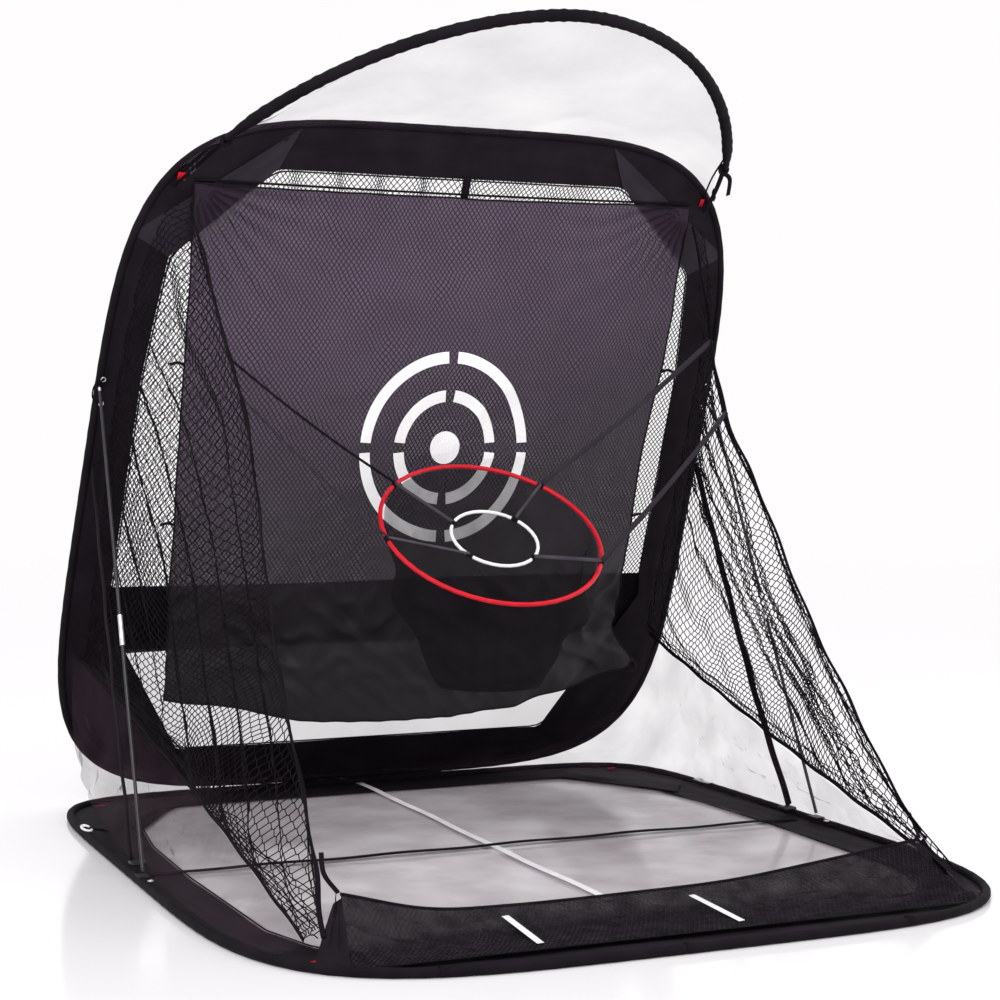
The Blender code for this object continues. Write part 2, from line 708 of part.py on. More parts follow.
def main():
    for obj in list(bpy.data.objects):
        bpy.data.objects.remove(obj, do_unlink=True)
    build_base_loop()
    build_base_strips()
    build_lip()
    for word, s in (("left", -1), ("right", 1)):
        build_side(word, s)
        build_tension_strap(word, s)
        build_pole(word, s)
    build_upright()
    build_sheet()
    build_roof()
    build_ring()
    hinge = on_frame(0, SLEEVE_RADIUS)
    parent_to_pivot("frame_pivot", hinge, (
        "upright_sleeve", "upright_loop_wire", "upright_border", "back_net", "back_band", "sheet_top_cord",
        "roof_buckle_left", "roof_buckle_right",
    ))
    parent_to_pivot("sheet_pivot", (0, 0.3405, 1.9235), ("target_sheet",))
    parent_to_pivot("roof_pivot", (0, ROOF_HINGE.y, ROOF_HINGE.z), (
        "roof_sleeve", "roof_rod", "roof_mesh", "roof_strap_left", "roof_strap_right",
    ))
    parent_to_pivot("ring_pivot", (0, -1.505, 0.962), ("ring_hoop", "inner_hoop", "ring_bag"))


main()
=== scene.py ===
"""The looks of the pop-up golf net: nets, cloths, webbing and light over the jointed frame."""

import json
import math

import bpy
import numpy as np
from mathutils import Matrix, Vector

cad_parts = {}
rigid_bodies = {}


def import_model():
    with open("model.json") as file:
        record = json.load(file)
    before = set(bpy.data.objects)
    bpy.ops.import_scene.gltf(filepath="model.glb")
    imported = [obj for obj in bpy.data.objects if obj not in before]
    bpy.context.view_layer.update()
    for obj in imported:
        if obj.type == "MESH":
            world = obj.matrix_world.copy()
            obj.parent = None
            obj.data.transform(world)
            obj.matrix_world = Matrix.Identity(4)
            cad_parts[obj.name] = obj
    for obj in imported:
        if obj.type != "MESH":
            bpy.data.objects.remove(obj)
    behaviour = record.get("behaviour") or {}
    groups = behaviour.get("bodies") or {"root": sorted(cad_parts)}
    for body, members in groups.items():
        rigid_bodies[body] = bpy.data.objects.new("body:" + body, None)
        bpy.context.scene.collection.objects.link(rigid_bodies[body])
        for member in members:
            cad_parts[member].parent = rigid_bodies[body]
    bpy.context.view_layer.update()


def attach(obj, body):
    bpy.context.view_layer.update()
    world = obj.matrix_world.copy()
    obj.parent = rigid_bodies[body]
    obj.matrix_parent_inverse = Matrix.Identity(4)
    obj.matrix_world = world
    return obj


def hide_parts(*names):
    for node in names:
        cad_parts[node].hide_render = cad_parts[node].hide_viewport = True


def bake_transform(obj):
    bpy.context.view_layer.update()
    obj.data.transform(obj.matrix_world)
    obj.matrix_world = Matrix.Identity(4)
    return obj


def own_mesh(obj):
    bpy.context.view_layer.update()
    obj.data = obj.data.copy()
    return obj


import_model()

# ---- dimensions, metres ----
BASE_HALF_WIDTH, BASE_HALF_DEPTH = 1.070, 1.245
REAR_POWER, FRONT_POWER = 8.0, 4.5
SLEEVE_RADIUS = 0.012
LEAN = math.radians(24.9)
FOOT_Y, FOOT_Z = 1.235, 0.0255
FRAME_HALF_WIDTH, FRAME_HEIGHT, FRAME_TAPER = 1.045, 2.300, 0.055
FRAME_TOP_POWER, FRAME_BOTTOM_POWER = 4.7, 4.9
ROOF_RISE = math.radians(23.9)
ROOF_HALF_WIDTH, ROOF_REACH, ROOF_POWER = 0.937, 1.411, 1.869
ROOF_CENTRE = np.array((0.0, 0.745, 1.716))
ROOF_START = math.radians(34)
ROOF_SLEEVE_RADIUS = 0.0165
RING_CENTRE = np.array((0.0, 0.066, 0.916))
RING_TILT = math.radians(34.8)
RING_RADIUS, RING_TUBE = 0.329, 0.0065
INNER_CENTRE = np.array((0.0, 0.044, 0.9007))
INNER_RADIUS, INNER_TUBE = 0.129, 0.005
BAG_FLOOR = np.array((0.0, 0.085, 0.470))
BAG_FLOOR_RADIUS = 0.150
BACK_TWINE, SIDE_TWINE = 0.00150, 0.00165

SIDES = (("left", -1), ("right", 1))

CAMERA_PLACE = Vector((-2.344, -5.371, 1.206))
CAMERA_AZIMUTH = math.radians(23.555)
CAMERA_DROP = math.radians(1.889)
CAMERA_LENS = 73.7


# ---- materials ----
THREAD = 0.003
DIAMOND = (0.0140, 0.0205)


def new_material(name, rough, spec, metal=0.0):
    material = bpy.data.materials.new(name)
    material.use_nodes = True
    shader = material.node_tree.nodes["Principled BSDF"]
    shader.inputs["Roughness"].default_value = rough
    shader.inputs["Specular IOR Level"].default_value = spec
    shader.inputs["Metallic"].default_value = metal
    return material, material.node_tree, shader


def object_place(tree):
    """The socket that gives a point's place on the object, in metres."""
    return tree.nodes.new("ShaderNodeTexCoord").outputs["Object"]


def noise(tree, place, scale, detail):
    made = tree.nodes.new("ShaderNodeTexNoise")
    made.inputs["Scale"].default_value = scale
    made.inputs["Detail"].default_value = detail
    tree.links.new(place, made.inputs["Vector"])
    return made.outputs["Fac"]


def bump(tree, height, strength, distance, under=None):
    """A bump from a height socket, laid over another bump's normal where one is given."""
    made = tree.nodes.new("ShaderNodeBump")
    made.inputs["Strength"].default_value = strength
    made.inputs["Distance"].default_value = distance
    tree.links.new(height, made.inputs["Height"])
    if under is not None:
        tree.links.new(under, made.inputs["Normal"])
    return made.outputs["Normal"]


def map_range(tree, value, span, to=(0.0, 1.0), kind="LINEAR"):
    made = tree.nodes.new("ShaderNodeMapRange")
    made.interpolation_type = kind
    for key, number in zip(("From Min", "From Max", "To Min", "To Max"), (*span, *to)):
        made.inputs[key].default_value = number
    tree.links.new(value, made.inputs["Value"])
    return made.outputs["Result"]


def smooth_step(tree, value, low, high):
    return map_range(tree, value, (low, high), kind="SMOOTHSTEP")


def maths(tree, operation, *values):
    """A Math node fed by sockets or plain numbers; gives its output socket."""
    made = tree.nodes.new("ShaderNodeMath")
    made.operation = operation
    for socket, value in zip(made.inputs, values):
        if isinstance(value, (int, float)):
            socket.default_value = value
        else:
            tree.links.new(value, socket)
    return made.outputs[0]


def blended(tree, factor, low, high):
    """A colour between two, each a tuple or a socket, by a factor socket."""
    mixer = tree.nodes.new("ShaderNodeMix")
    mixer.data_type = "RGBA"
    tree.links.new(factor, mixer.inputs[0])
    for socket, colour in ((mixer.inputs[6], low), (mixer.inputs[7], high)):
        if isinstance(colour, tuple):
            socket.default_value = (*colour, 1)
        else:
            tree.links.new(colour, socket)
    return mixer.outputs[2]


def mottle(tree, shader, dark, light, scale):
    """Mottle the base colour between two; gives the object coordinates it is laid out in."""
    place = object_place(tree)
    tones = tree.nodes.new("ShaderNodeValToRGB")
    for element, position, colour in zip(tones.color_ramp.elements, (0.35, 0.68), (dark, light)):
        element.position = position
        element.color = (*colour, 1)
    tree.links.new(noise(tree, place, scale, 4.0), tones.inputs["Fac"])
    tree.links.new(tones.outputs["Color"], shader.inputs["Base Color"])
    return place


def weave(tree, shader, place, depth, puckers, pucker_scale=14.0):
    """A fine thread grain, with slow puckers under it."""
    normal = bump(tree, noise(tree, place, 1 / THREAD, 1.0), 0.4, depth)
    if puckers:
        normal = bump(tree, noise(tree, place, pucker_scale, 3.0), 1.0, puckers, normal)
    tree.links.new(normal, shader.inputs["Normal"])


def fabric(name, dark, light, rough=0.75, spec=0.12, puckers=0.004):
    material, tree, shader = new_material(name, rough, spec)
    weave(tree, shader, mottle(tree, shader, dark, light, 9.0), 0.0003, puckers)
    return material


def veil(name, tone, low, high, scale):
    """Fine see-through mesh, whose cover varies slowly between low and high."""
    material, tree, shader = new_material(name, 0.8, 0.1)
    shader.inputs["Base Color"].default_value = (*tone, 1)
    cover = map_range(tree, noise(tree, object_place(tree), scale, 5.0), (0.3, 0.7), (low, high))
    tree.links.new(cover, shader.inputs["Alpha"])
    return material


def plain(name, dark, light, rough, spec=0.5, metal=0.0, grain=0.0):
    """A moulded, painted or drawn surface, with a fine grain of the given depth."""
    material, tree, shader = new_material(name, rough, spec, metal)
    place = mottle(tree, shader, dark, light, 30.0)
    if grain:
        tree.links.new(bump(tree, noise(tree, place, 240.0, 2.0), 0.4, grain), shader.inputs["Normal"])
    return material


def lattice(tree, place, across, up):
    """The strands of the diamond net, from 0 in a gap to 1 on a strand."""
    drift = maths(tree, "MULTIPLY", noise(tree, place, 7.0, 3.0), 9.0)
    across = maths(tree, "MULTIPLY_ADD", across, math.pi / DIAMOND[0], drift)
    up = maths(tree, "MULTIPLY", up, math.pi / DIAMOND[1])
    rising = maths(tree, "ABSOLUTE", maths(tree, "SINE", maths(tree, "ADD", across, up)))
    falling = maths(tree, "ABSOLUTE", maths(tree, "SINE", maths(tree, "SUBTRACT", across, up)))
    gap = smooth_step(tree, maths(tree, "MINIMUM", rising, falling), 0.16, 0.62)
    return maths(tree, "SUBTRACT", 1.0, gap)


def sheet_material(name):
    """Thin dark cloth with painted light and shade: lighter over the window as light shining through from
    behind, with the net behind painted on as dark strands, lighter towards the top left as painted light
    fall, and doubled, more opaque and painted darker as shade low down.
    """
    material, tree, shader = new_material(name, 0.55, 0.20)
    place = object_place(tree)
    parts = tree.nodes.new("ShaderNodeSeparateXYZ")
    tree.links.new(place, parts.inputs[0])
    across, _, up = parts.outputs
    high = smooth_step(tree, up, 0.715, 0.755)
    # Painted backlight: over the window the cloth is painted lighter, as light shining through it from
    # behind, and the net behind it is painted on as dark strands, its painted shadow; over the border's
    # corners the cloth keeps a flat dark colour.
    slant = maths(tree, "MULTIPLY", up, 0.798)
    slant = maths(tree, "MULTIPLY_ADD", maths(tree, "ABSOLUTE", across), 0.69, slant)
    window = maths(tree, "SUBTRACT", 1.0, smooth_step(tree, slant, 1.925, 1.955))
    strand = maths(tree, "MULTIPLY", lattice(tree, place, across, up), maths(tree, "MULTIPLY", high, window))
    mottled = noise(tree, place, 5.0, 5.0)
    painted_lit_cloth = blended(tree, mottled, (0.058, 0.034, 0.066), (0.110, 0.068, 0.122))
    painted_shade_cloth = blended(tree, mottled, (0.008, 0.004, 0.009), (0.022, 0.012, 0.025))
    # Painted light fall: the cloth is painted lighter towards the top and the left, where the lamps light it
    # most, and darker low down.
    light = smooth_step(tree, maths(tree, "MULTIPLY_ADD", across, -0.22, up), 0.72, 1.75)
    cloth = blended(tree, window, (0.020, 0.010, 0.022), blended(tree, light, painted_shade_cloth, painted_lit_cloth))
    cloth = blended(tree, strand, cloth, (0.0060, 0.0018, 0.0075))
    # Painted shade below the band: the cloth there is painted darker, as less light reaches it low down; it
    # is also doubled there, and more opaque.
    low_shaded_cloth = blended(tree, mottled, (0.0065, 0.0048, 0.0065), (0.0150, 0.0115, 0.0145))
    tree.links.new(blended(tree, high, low_shaded_cloth, cloth), shader.inputs["Base Color"])
    cover = maths(tree, "MULTIPLY_ADD", strand, 0.050, 0.932)
    cover = maths(tree, "MULTIPLY_ADD", maths(tree, "SUBTRACT", 1.0, high), 0.057, cover)
    tree.links.new(cover, shader.inputs["Alpha"])
    weave(tree, shader, place, 0.0004, 0.007, 9.0)
    return material


MATERIALS = {
    "border": fabric("border_fabric", (0.0075, 0.0052, 0.0080), (0.0125, 0.0090, 0.0130), spec=0.10),
    # The gusset cloth is the border's black fabric painted lighter: a painted sheen, where its weave lies
    # another way and catches the light.
    "gusset": fabric("gusset_fabric", (0.016, 0.012, 0.019), (0.024, 0.018, 0.028), 0.6, 0.18),
    "sleeve": fabric("sleeve_fabric", (0.0060, 0.0044, 0.0066), (0.0105, 0.0078, 0.0112), 0.75, 0.08, 0.006),
    "webbing": fabric("webbing", (0.006, 0.0042, 0.0065), (0.012, 0.0088, 0.0125), 0.9, 0.06, 0.0),
    "grey_web": fabric("grey_webbing", (0.045, 0.038, 0.050), (0.085, 0.075, 0.092), 0.7, puckers=0.0),
    "twine": plain("twine", (0.006, 0.0042, 0.0065), (0.014, 0.011, 0.015), 0.9, 0.06),
    "sheet": sheet_material("sheet_fabric"),
    "print": fabric("print_white", (0.90, 0.89, 0.91), (0.96, 0.95, 0.96), 0.6, puckers=0.001),
    "roof": veil("roof_mesh", (0.10, 0.07, 0.11), 0.05, 0.24, 3.0),
    # The roof's folds: the roof mesh denser where it lies doubled, and darker in tone as painted shade in the
    # fold.
    "roof_fold": veil("roof_fold", (0.03, 0.024, 0.034), 0.55, 0.90, 14.0),
    "floor_veil": veil("floor_veil", (0.26, 0.20, 0.23), 0.18, 0.44, 4.5),
    "window_veil": veil("window_veil", (0.16, 0.11, 0.12), 0.24, 0.36, 4.0),
    "skirt": veil("skirt_mesh", (0.060, 0.036, 0.050), 0.10, 0.30, 7.0),
    "lip_twine": plain("lip_twine", (0.016, 0.012, 0.017), (0.050, 0.042, 0.054), 0.8, 0.1),
    "lip": veil("lip_mesh", (0.008, 0.006, 0.009), 0.90, 0.985, 16.0),
    "bag": veil("bag_mesh", (0.0075, 0.0055, 0.0085), 0.50, 0.68, 10.0),
    "red": plain("red_tube", (0.56, 0.003, 0.014), (0.68, 0.005, 0.022), 0.4, 0.3),
    "white": plain("white_tube", (0.86, 0.86, 0.88), (0.94, 0.94, 0.95), 0.4),
    "tape": fabric("white_tape", (0.72, 0.70, 0.73), (0.88, 0.86, 0.89), puckers=0.0),
    "black_plastic": plain("plastic", (0.008, 0.0075, 0.009), (0.016, 0.015, 0.017), 0.45, 0.3, grain=0.0002),
    "rod": plain("rod", (0.008, 0.007, 0.010), (0.018, 0.016, 0.022), 0.35, 0.35),
    "silver": plain("silver", (0.55, 0.55, 0.57), (0.75, 0.75, 0.77), 0.3, 0.5, 1.0),
    "red_tab": fabric("red_tab", (0.55, 0.004, 0.015), (0.70, 0.006, 0.022), puckers=0.0),
}


# ---- mesh helpers ----
def add_object(name, points, faces, material):
    data = bpy.data.meshes.new(name)
    data.from_pydata(np.asarray(points, float).tolist(), [], faces)
    return add_mesh(name, data, material)


def add_mesh(name, data, material):
    data.update(calc_edges=True)
    data.shade_smooth()
    data.materials.append(MATERIALS[material])
    obj = bpy.data.objects.new(name, data)
    bpy.context.scene.collection.objects.link(obj)
    return obj


def quads(m, n, rows_close, columns_close):
    """The faces between m rows of n points, where the rows or the columns may close on themselves."""
    faces = []
    for i in range(m if columns_close else m - 1):
        below = (i + 1) % m
        for j in range(n if rows_close else n - 1):
            k = (j + 1) % n
            faces.append((i * n + j, i * n + k, below * n + k, below * n + j))
    return faces


def grid_object(name, grid, material, closed=False):
    """A one-layer cloth from an (m, n, 3) grid of points."""
    m, n = grid.shape[:2]
    return add_object(name, grid.reshape(-1, 3), quads(m, n, closed, False), material)


def smooth_path(points, count):
    """A Catmull-Rom curve through the points, evenly resampled to count + 1 points."""
    p = np.asarray(points, float)
    p = np.vstack([2 * p[0] - p[1], p, 2 * p[-1] - p[-2]])
    dense = []
    for i in range(1, len(p) - 2):
        for t in np.arange(24) / 24:
            dense.append(
                0.5 * (2 * p[i] + (p[i + 1] - p[i - 1]) * t
                + (2 * p[i - 1] - 5 * p[i] + 4 * p[i + 1] - p[i + 2]) * t * t
                + (3 * p[i] - p[i - 1] - 3 * p[i + 1] + p[i + 2]) * t**3)
            )
    dense.append(p[-2])
    return resample(np.array(dense), count)


def resample(points, count):
    reach = np.concatenate([[0], np.cumsum(np.linalg.norm(np.diff(points, axis=0), axis=1))])
    want = np.linspace(0, reach[-1], count + 1)
    return np.stack([np.interp(want, reach, points[:, k]) for k in range(points.shape[1])], 1)


def unit(v):
    return v / np.maximum(np.linalg.norm(v, axis=-1, keepdims=True), 1e-12)


def frames_along(path, side, closed=False):
    """(across, up) directions at each point of the path; across starts from side."""
    if closed:
        run = np.roll(path, -1, 0) - np.roll(path, 1, 0)
    else:
        run = np.gradient(path, axis=0)
    run = unit(run)
    side = np.broadcast_to(np.asarray(side, float), path.shape)
    across = unit(side - run * (side * run).sum(1, keepdims=True))
    return across, np.cross(run, across)


def sweep(name, path, side, profile, material, closed=False, scale=None):
    """Sweep a closed (across, up) profile along the path, scaled point by point."""
    path = np.asarray(path, float)
    across, up = frames_along(path, side, closed)
    profile = np.asarray(profile, float)
    size = np.ones(len(path)) if scale is None else np.asarray(scale)
    rings = (
        path[:, None]
        + across[:, None] * (profile[None, :, :1] * size[:, None, None])
        + up[:, None] * (profile[None, :, 1:] * size[:, None, None])
    )
    count, m = rings.shape[:2]
    faces = quads(count, m, True, closed)
    if not closed:
        faces.append(tuple(range(m))[::-1])
        faces.append(tuple((count - 1) * m + k for k in range(m)))
    return add_object(name, rings.reshape(-1, 3), faces, material)


def circle(radius, sides):
    a = 2 * math.pi * np.arange(sides) / sides
    return np.stack([radius * np.cos(a), radius * np.sin(a)], 1)


def band(width, thick):
    """A flat strap's outline with eased edges."""
    w, t = width / 2, thick / 2
    right = [(w - t, -t), (w, -t * 0.3), (w, t * 0.3), (w - t, t)]
    return [(-w, -t * 0.3), (-w + t, -t), *right, (-w + t, t), (-w, t * 0.3)]


def tube(name, path, radius, material, sides=10, closed=False, side=(0.03, 0.02, 1.0), scale=None):
    return sweep(name, path, side, circle(radius, sides), material, closed, scale)


def strap(name, path, side, width, material, thick=0.0016):
    return sweep(name, path, side, band(width, thick), material)


def twines(name, lines, radius, material="twine"):
    """Three-sided strands along many polylines, in one mesh."""
    points, faces, start = [], [], 0
    corner = circle(radius, 3)
    for line in lines:
        line = np.asarray(line)
        if len(line) < 2:
            continue
        run = unit(np.gradient(line, axis=0))
        side = np.where(np.abs(run[:, :1]) < 0.9, np.array([[1.0, 0, 0]]), np.array([[0, 1.0, 0]]))
        across = unit(side - run * (side * run).sum(1, keepdims=True))
        up = np.cross(run, across)
        rings = line[:, None] + across[:, None] * corner[None, :, :1] + up[:, None] * corner[None, :, 1:]
        points.append(rings.reshape(-1, 3))
        count = len(line)
        a = start + 3 * np.arange(count - 1)[:, None] + np.arange(3)[None]
        b = start + 3 * np.arange(count - 1)[:, None] + (np.arange(3)[None] + 1) % 3
        faces.append(np.stack([a, b, b + 3, a + 3], -1).reshape(-1, 4))
        start += 3 * count
    points = np.concatenate(points)
    faces = np.concatenate(faces)
    data = bpy.data.meshes.new(name)
    data.vertices.add(len(points))
    data.vertices.foreach_set("co", points.astype(np.float32).ravel())
    data.loops.add(faces.size)
    data.loops.foreach_set("vertex_index", faces.astype(np.int32).ravel())
    data.polygons.add(len(faces))
    data.polygons.foreach_set("loop_start", (4 * np.arange(len(faces))).astype(np.int32))
    return add_mesh(name, data, material)


def waves(seed, count, low, high):
    """A smooth repeatable field of two variables, about -1 to 1, with the given wave counts."""
    rng = np.random.default_rng(seed)
    f = rng.uniform(low, high, (count, 2)) * rng.choice([-1, 1], (count, 2))
    phase = rng.uniform(0, 2 * math.pi, count)

    def field(u, v):
        total = sum(np.sin(2 * math.pi * (a * u + b * v) + p) for (a, b), p in zip(f, phase))
        return total / count**0.5 / 0.9

    return field


def ramp(x, low, high):
    t = np.clip((x - low) / (high - low), 0, 1)
    return t * t * (3 - 2 * t)


def riding(body, piece, *nodes):
    """The piece moves with the body, and stands for the CAD nodes that are named."""
    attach(piece, body)
    if nodes:
        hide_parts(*nodes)
    return piece


def mix(a, b, t):
    return np.asarray(a, float) + (np.asarray(b, float) - np.asarray(a, float)) * t


# ---- the object's own curves ----
def quadrant(a, b, power, count):
    """A quarter of a superellipse, evenly spaced."""
    t = np.linspace(0, math.pi / 2, 2001)
    dense = np.stack([a * np.abs(np.cos(t)) ** (2 / power), b * np.abs(np.sin(t)) ** (2 / power)], 1)
    dense[0], dense[-1] = (a, 0), (0, b)
    return resample(dense, count)


def super_loop(a, b, power_plus, power_minus, count):
    """A rounded loop, with one power for its far half and one for its near half."""
    top = quadrant(a, b, power_plus, count)
    low = quadrant(a, b, power_minus, count)
    quarters = top, (top * (-1, 1))[::-1], low * (-1, -1), (low * (1, -1))[::-1]
    return np.vstack([quarter[:-1] for quarter in quarters])


def base_line(inset, count):
    """The base loop's outline, inset from the wire."""
    a, b = BASE_HALF_WIDTH - SLEEVE_RADIUS - inset, BASE_HALF_DEPTH - SLEEVE_RADIUS - inset
    return super_loop(a, b, REAR_POWER, FRONT_POWER, count)


def frame_line(inset, count):
    half = FRAME_HEIGHT / 2
    a, b = FRAME_HALF_WIDTH - SLEEVE_RADIUS - inset, half - SLEEVE_RADIUS - inset
    loop = super_loop(a, b, FRAME_TOP_POWER, FRAME_BOTTOM_POWER, count)
    return np.stack([loop[:, 0] * (1 - FRAME_TAPER * loop[:, 1] / half), loop[:, 1] + half], 1)


def on_frame(x, h, off=0.0):
    """A point on the leaning frame: across, up along it and off its front face."""
    x, h, off = np.broadcast_arrays(np.asarray(x, float), h, off)
    y = FOOT_Y - h * math.sin(LEAN) - off * math.cos(LEAN)
    z = FOOT_Z + h * math.cos(LEAN) - off * math.sin(LEAN)
    return np.stack([x, y, z], -1)


def on_floor(x, y, z=0.0):
    x, y, z = np.broadcast_arrays(np.asarray(x, float), y, z)
    return np.stack([x, y, z], -1)


def on_roof(angle):
    c, s = np.cos(angle), np.maximum(0, np.sin(angle))
    x = ROOF_HALF_WIDTH * np.sign(c) * np.abs(c) ** (2 / ROOF_POWER)
    reach = ROOF_REACH * s ** (2 / ROOF_POWER)
    out = np.array((0, -math.cos(ROOF_RISE), math.sin(ROOF_RISE)))
    return ROOF_CENTRE + out * reach[:, None] + np.stack([x, 0 * x, 0 * x], 1)


def on_ring(radius, angle, lift=0.0, centre=RING_CENTRE):
    radius, angle, lift = np.broadcast_arrays(np.asarray(radius, float), angle, lift)
    c, s = math.cos(RING_TILT), math.sin(RING_TILT)
    x = radius * np.cos(angle)
    r = radius * np.sin(angle)
    return centre + np.stack([x, r * c - lift * s, r * s + lift * c], -1)


BASE_WINDOW = [
    (0.685, 1.045), (0.865, 0.790), (0.910, 0.445), (0.920, 0.0), (0.905, -0.655),
    (0.850, -0.855), (0.700, -1.025), (0.350, -1.070),
]
FRAME_WINDOW = [
    (0.560, 2.140), (0.620, 2.090), (0.850, 1.867), (0.893, 1.490), (0.920, 0.780),
    (0.935, 0.690), (0.817, 0.295), (0.650, 0.160),
]


def mirror_loop(points):
    p = np.asarray(points, float)
    return np.vstack([p, (p * (-1, 1))[::-1]])


def ray_hit(loop, centre, direction):
    """The farthest crossing of a ray from centre with the closed loop."""
    best = 0.0
    for a, b in zip(loop, np.roll(loop, -1, 0)):
        edge = b - a
        cross = direction[0] * edge[1] - direction[1] * edge[0]
        if abs(cross) < 1e-12:
            continue
        gap = a - centre
        t = (gap[0] * edge[1] - gap[1] * edge[0]) / cross
        u = (gap[0] * direction[1] - gap[1] * direction[0]) / cross
        if t > 0 and -1e-9 <= u <= 1 + 1e-9:
            best = max(best, t)
    return centre + direction * best


def build_loop(body, place, line, window, centre, seed, lift, wire_level):
    """The wide border between the sleeve and the window, its hem, and the gathered sleeve."""
    outer = line(0.004, 60)
    hits = np.array([ray_hit(window, centre, unit(p - centre)) for p in outer])
    field = waves(seed, 7, 3, 9)
    turn = np.arange(len(outer)) / len(outer)
    rows = []
    for v in np.arange(11) / 10:
        flat = mix(outer, hits, v)
        puff = 0.0040 * (1 - v) ** 2 + lift
        ripple = 0.0016 * field(turn * 2, v * 0.4) * math.sin(math.pi * min(1, v * 1.1) * 0.9)
        rows.append(place(flat[:, 0], flat[:, 1], puff + ripple))
    border = grid_object(f"{body}_border_cloth", np.array(rows), "border", closed=True)
    riding(body, border, f"{body}_border")
    flat = np.array([mix(h, centre, 0.004) for h in hits])
    hem = place(flat[:, 0], flat[:, 1], lift + 0.0012)
    hem = resample(np.vstack([hem, hem[:1]]), 220)[:-1]
    normal = place(0, 0, 1.0) - place(0, 0, 0.0)
    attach(tube(f"{body}_window_hem", hem, 0.0024, "sleeve", 6, True, normal), body)
    wire = line(0.0, 90)
    rng = np.random.default_rng(seed)
    gather = 1 + 0.05 * np.sin(np.arange(len(wire)) * 1.9) * rng.uniform(0.3, 1, len(wire))
    path = place(wire[:, 0], wire[:, 1], wire_level)
    sleeve = tube(f"{body}_sleeve_cloth", path, SLEEVE_RADIUS, "sleeve", 14, True, normal, gather)
    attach(sleeve, body)
    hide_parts(f"{body}_sleeve", f"{body}_loop_wire")


# The patches over the corners: four corners on the right-hand side, body, lift and cloth.
GUSSETS = {
    # The frame's top corners take the gusset cloth with its painted sheen; the other corners keep the plain
    # black border cloth.
    "frame_top": (((0.555, 2.145), (0.852, 1.862), (0.965, 1.93), (0.5, 2.268)), "upright", 0.006, "gusset"),
    "frame_low": (((0.65, 0.16), (0.935, 0.69), (1.02, 0.56), (0.8, 0.06)), "upright", 0.006, "border"),
    "base_rear": (((0.685, 1.045), (0.91, 0.62), (1.035, 0.8), (0.8, 1.205)), "base", 0.0095, "border"),
}


def gusset(name, corners, body, lift, material):
    """A reinforcing patch over a corner, as a bilinear sheet."""
    place = on_frame if body == "upright" else on_floor
    a, b, c, d = corners
    u = np.linspace(0, 1, 14)[:, None, None]
    v = np.linspace(0, 1, 14)[None, :, None]
    flat = (a * (1 - u) + b * u) * (1 - v) + (d * (1 - u) + c * u) * v
    bulge = lift + 0.0015 * waves(len(name), 5, 0.5, 1.6)(u[..., 0], v[..., 0])
    piece = grid_object(name, place(flat[..., 0], flat[..., 1], bulge), material)
    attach(piece, body)


def build_loops():
    base, upright = mirror_loop(BASE_WINDOW), mirror_loop(FRAME_WINDOW)
    build_loop("base", on_floor, base_line, base, np.zeros(2), 3, 0.004, SLEEVE_RADIUS)
    build_loop("upright", on_frame, frame_line, upright, np.array((0, 1.15)), 5, 0.001, 0.0)
    for word, s in SIDES:
        for key, (corners, *facts) in GUSSETS.items():
            gusset(f"{key}_gusset_{word}", np.array(corners) * (s, 1), *facts)



# ---- flat nets ----
def clip_line(loop, origin, direction):
    """Where an infinite line enters and leaves a convex loop, or None."""
    low, high = -1e9, 1e9
    centre = loop.mean(0)
    for a, b in zip(loop, np.roll(loop, -1, 0)):
        edge = b - a
        normal = np.array((edge[1], -edge[0]))
        if normal @ (centre - a) > 0:
            normal = -normal
        ahead, gap = normal @ direction, normal @ (a - origin)
        if abs(ahead) < 1e-12:
            if gap < 0:
                return None
            continue
        t = gap / ahead
        if ahead > 0:
            high = min(high, t)
        else:
            low = max(low, t)
    return (low, high) if high > low + 1e-3 else None


def net_lines(loop, width, height, step):
    """Polylines of a diamond-mesh net over a convex loop: each diamond is width by height."""
    lines = []
    centre, size = loop.mean(0), np.ptp(loop, axis=0).max()
    for sign in (-1, 1):
        along = unit(np.array((sign * width, height)))
        reach = size / width + size / height
        for k in range(-int(reach), int(reach) + 1):
            origin = centre + np.array((k * width, 0.0))
            hit = clip_line(loop, origin, along)
            if hit is None:
                continue
            count = max(2, int((hit[1] - hit[0]) / step) + 2)
            lines.append(origin + along * np.linspace(hit[0], hit[1], count)[:, None])
    return lines


BAND_LOW, BAND_HIGH = 0.530, 0.765
# The net's own outline, tucked under the border all round and down to the band.
NET_WINDOW = [(0.567, 2.152), (0.627, 2.101), (0.860, 1.876), (0.904, 1.494), (0.931, 0.776), (0.939, 0.565)]


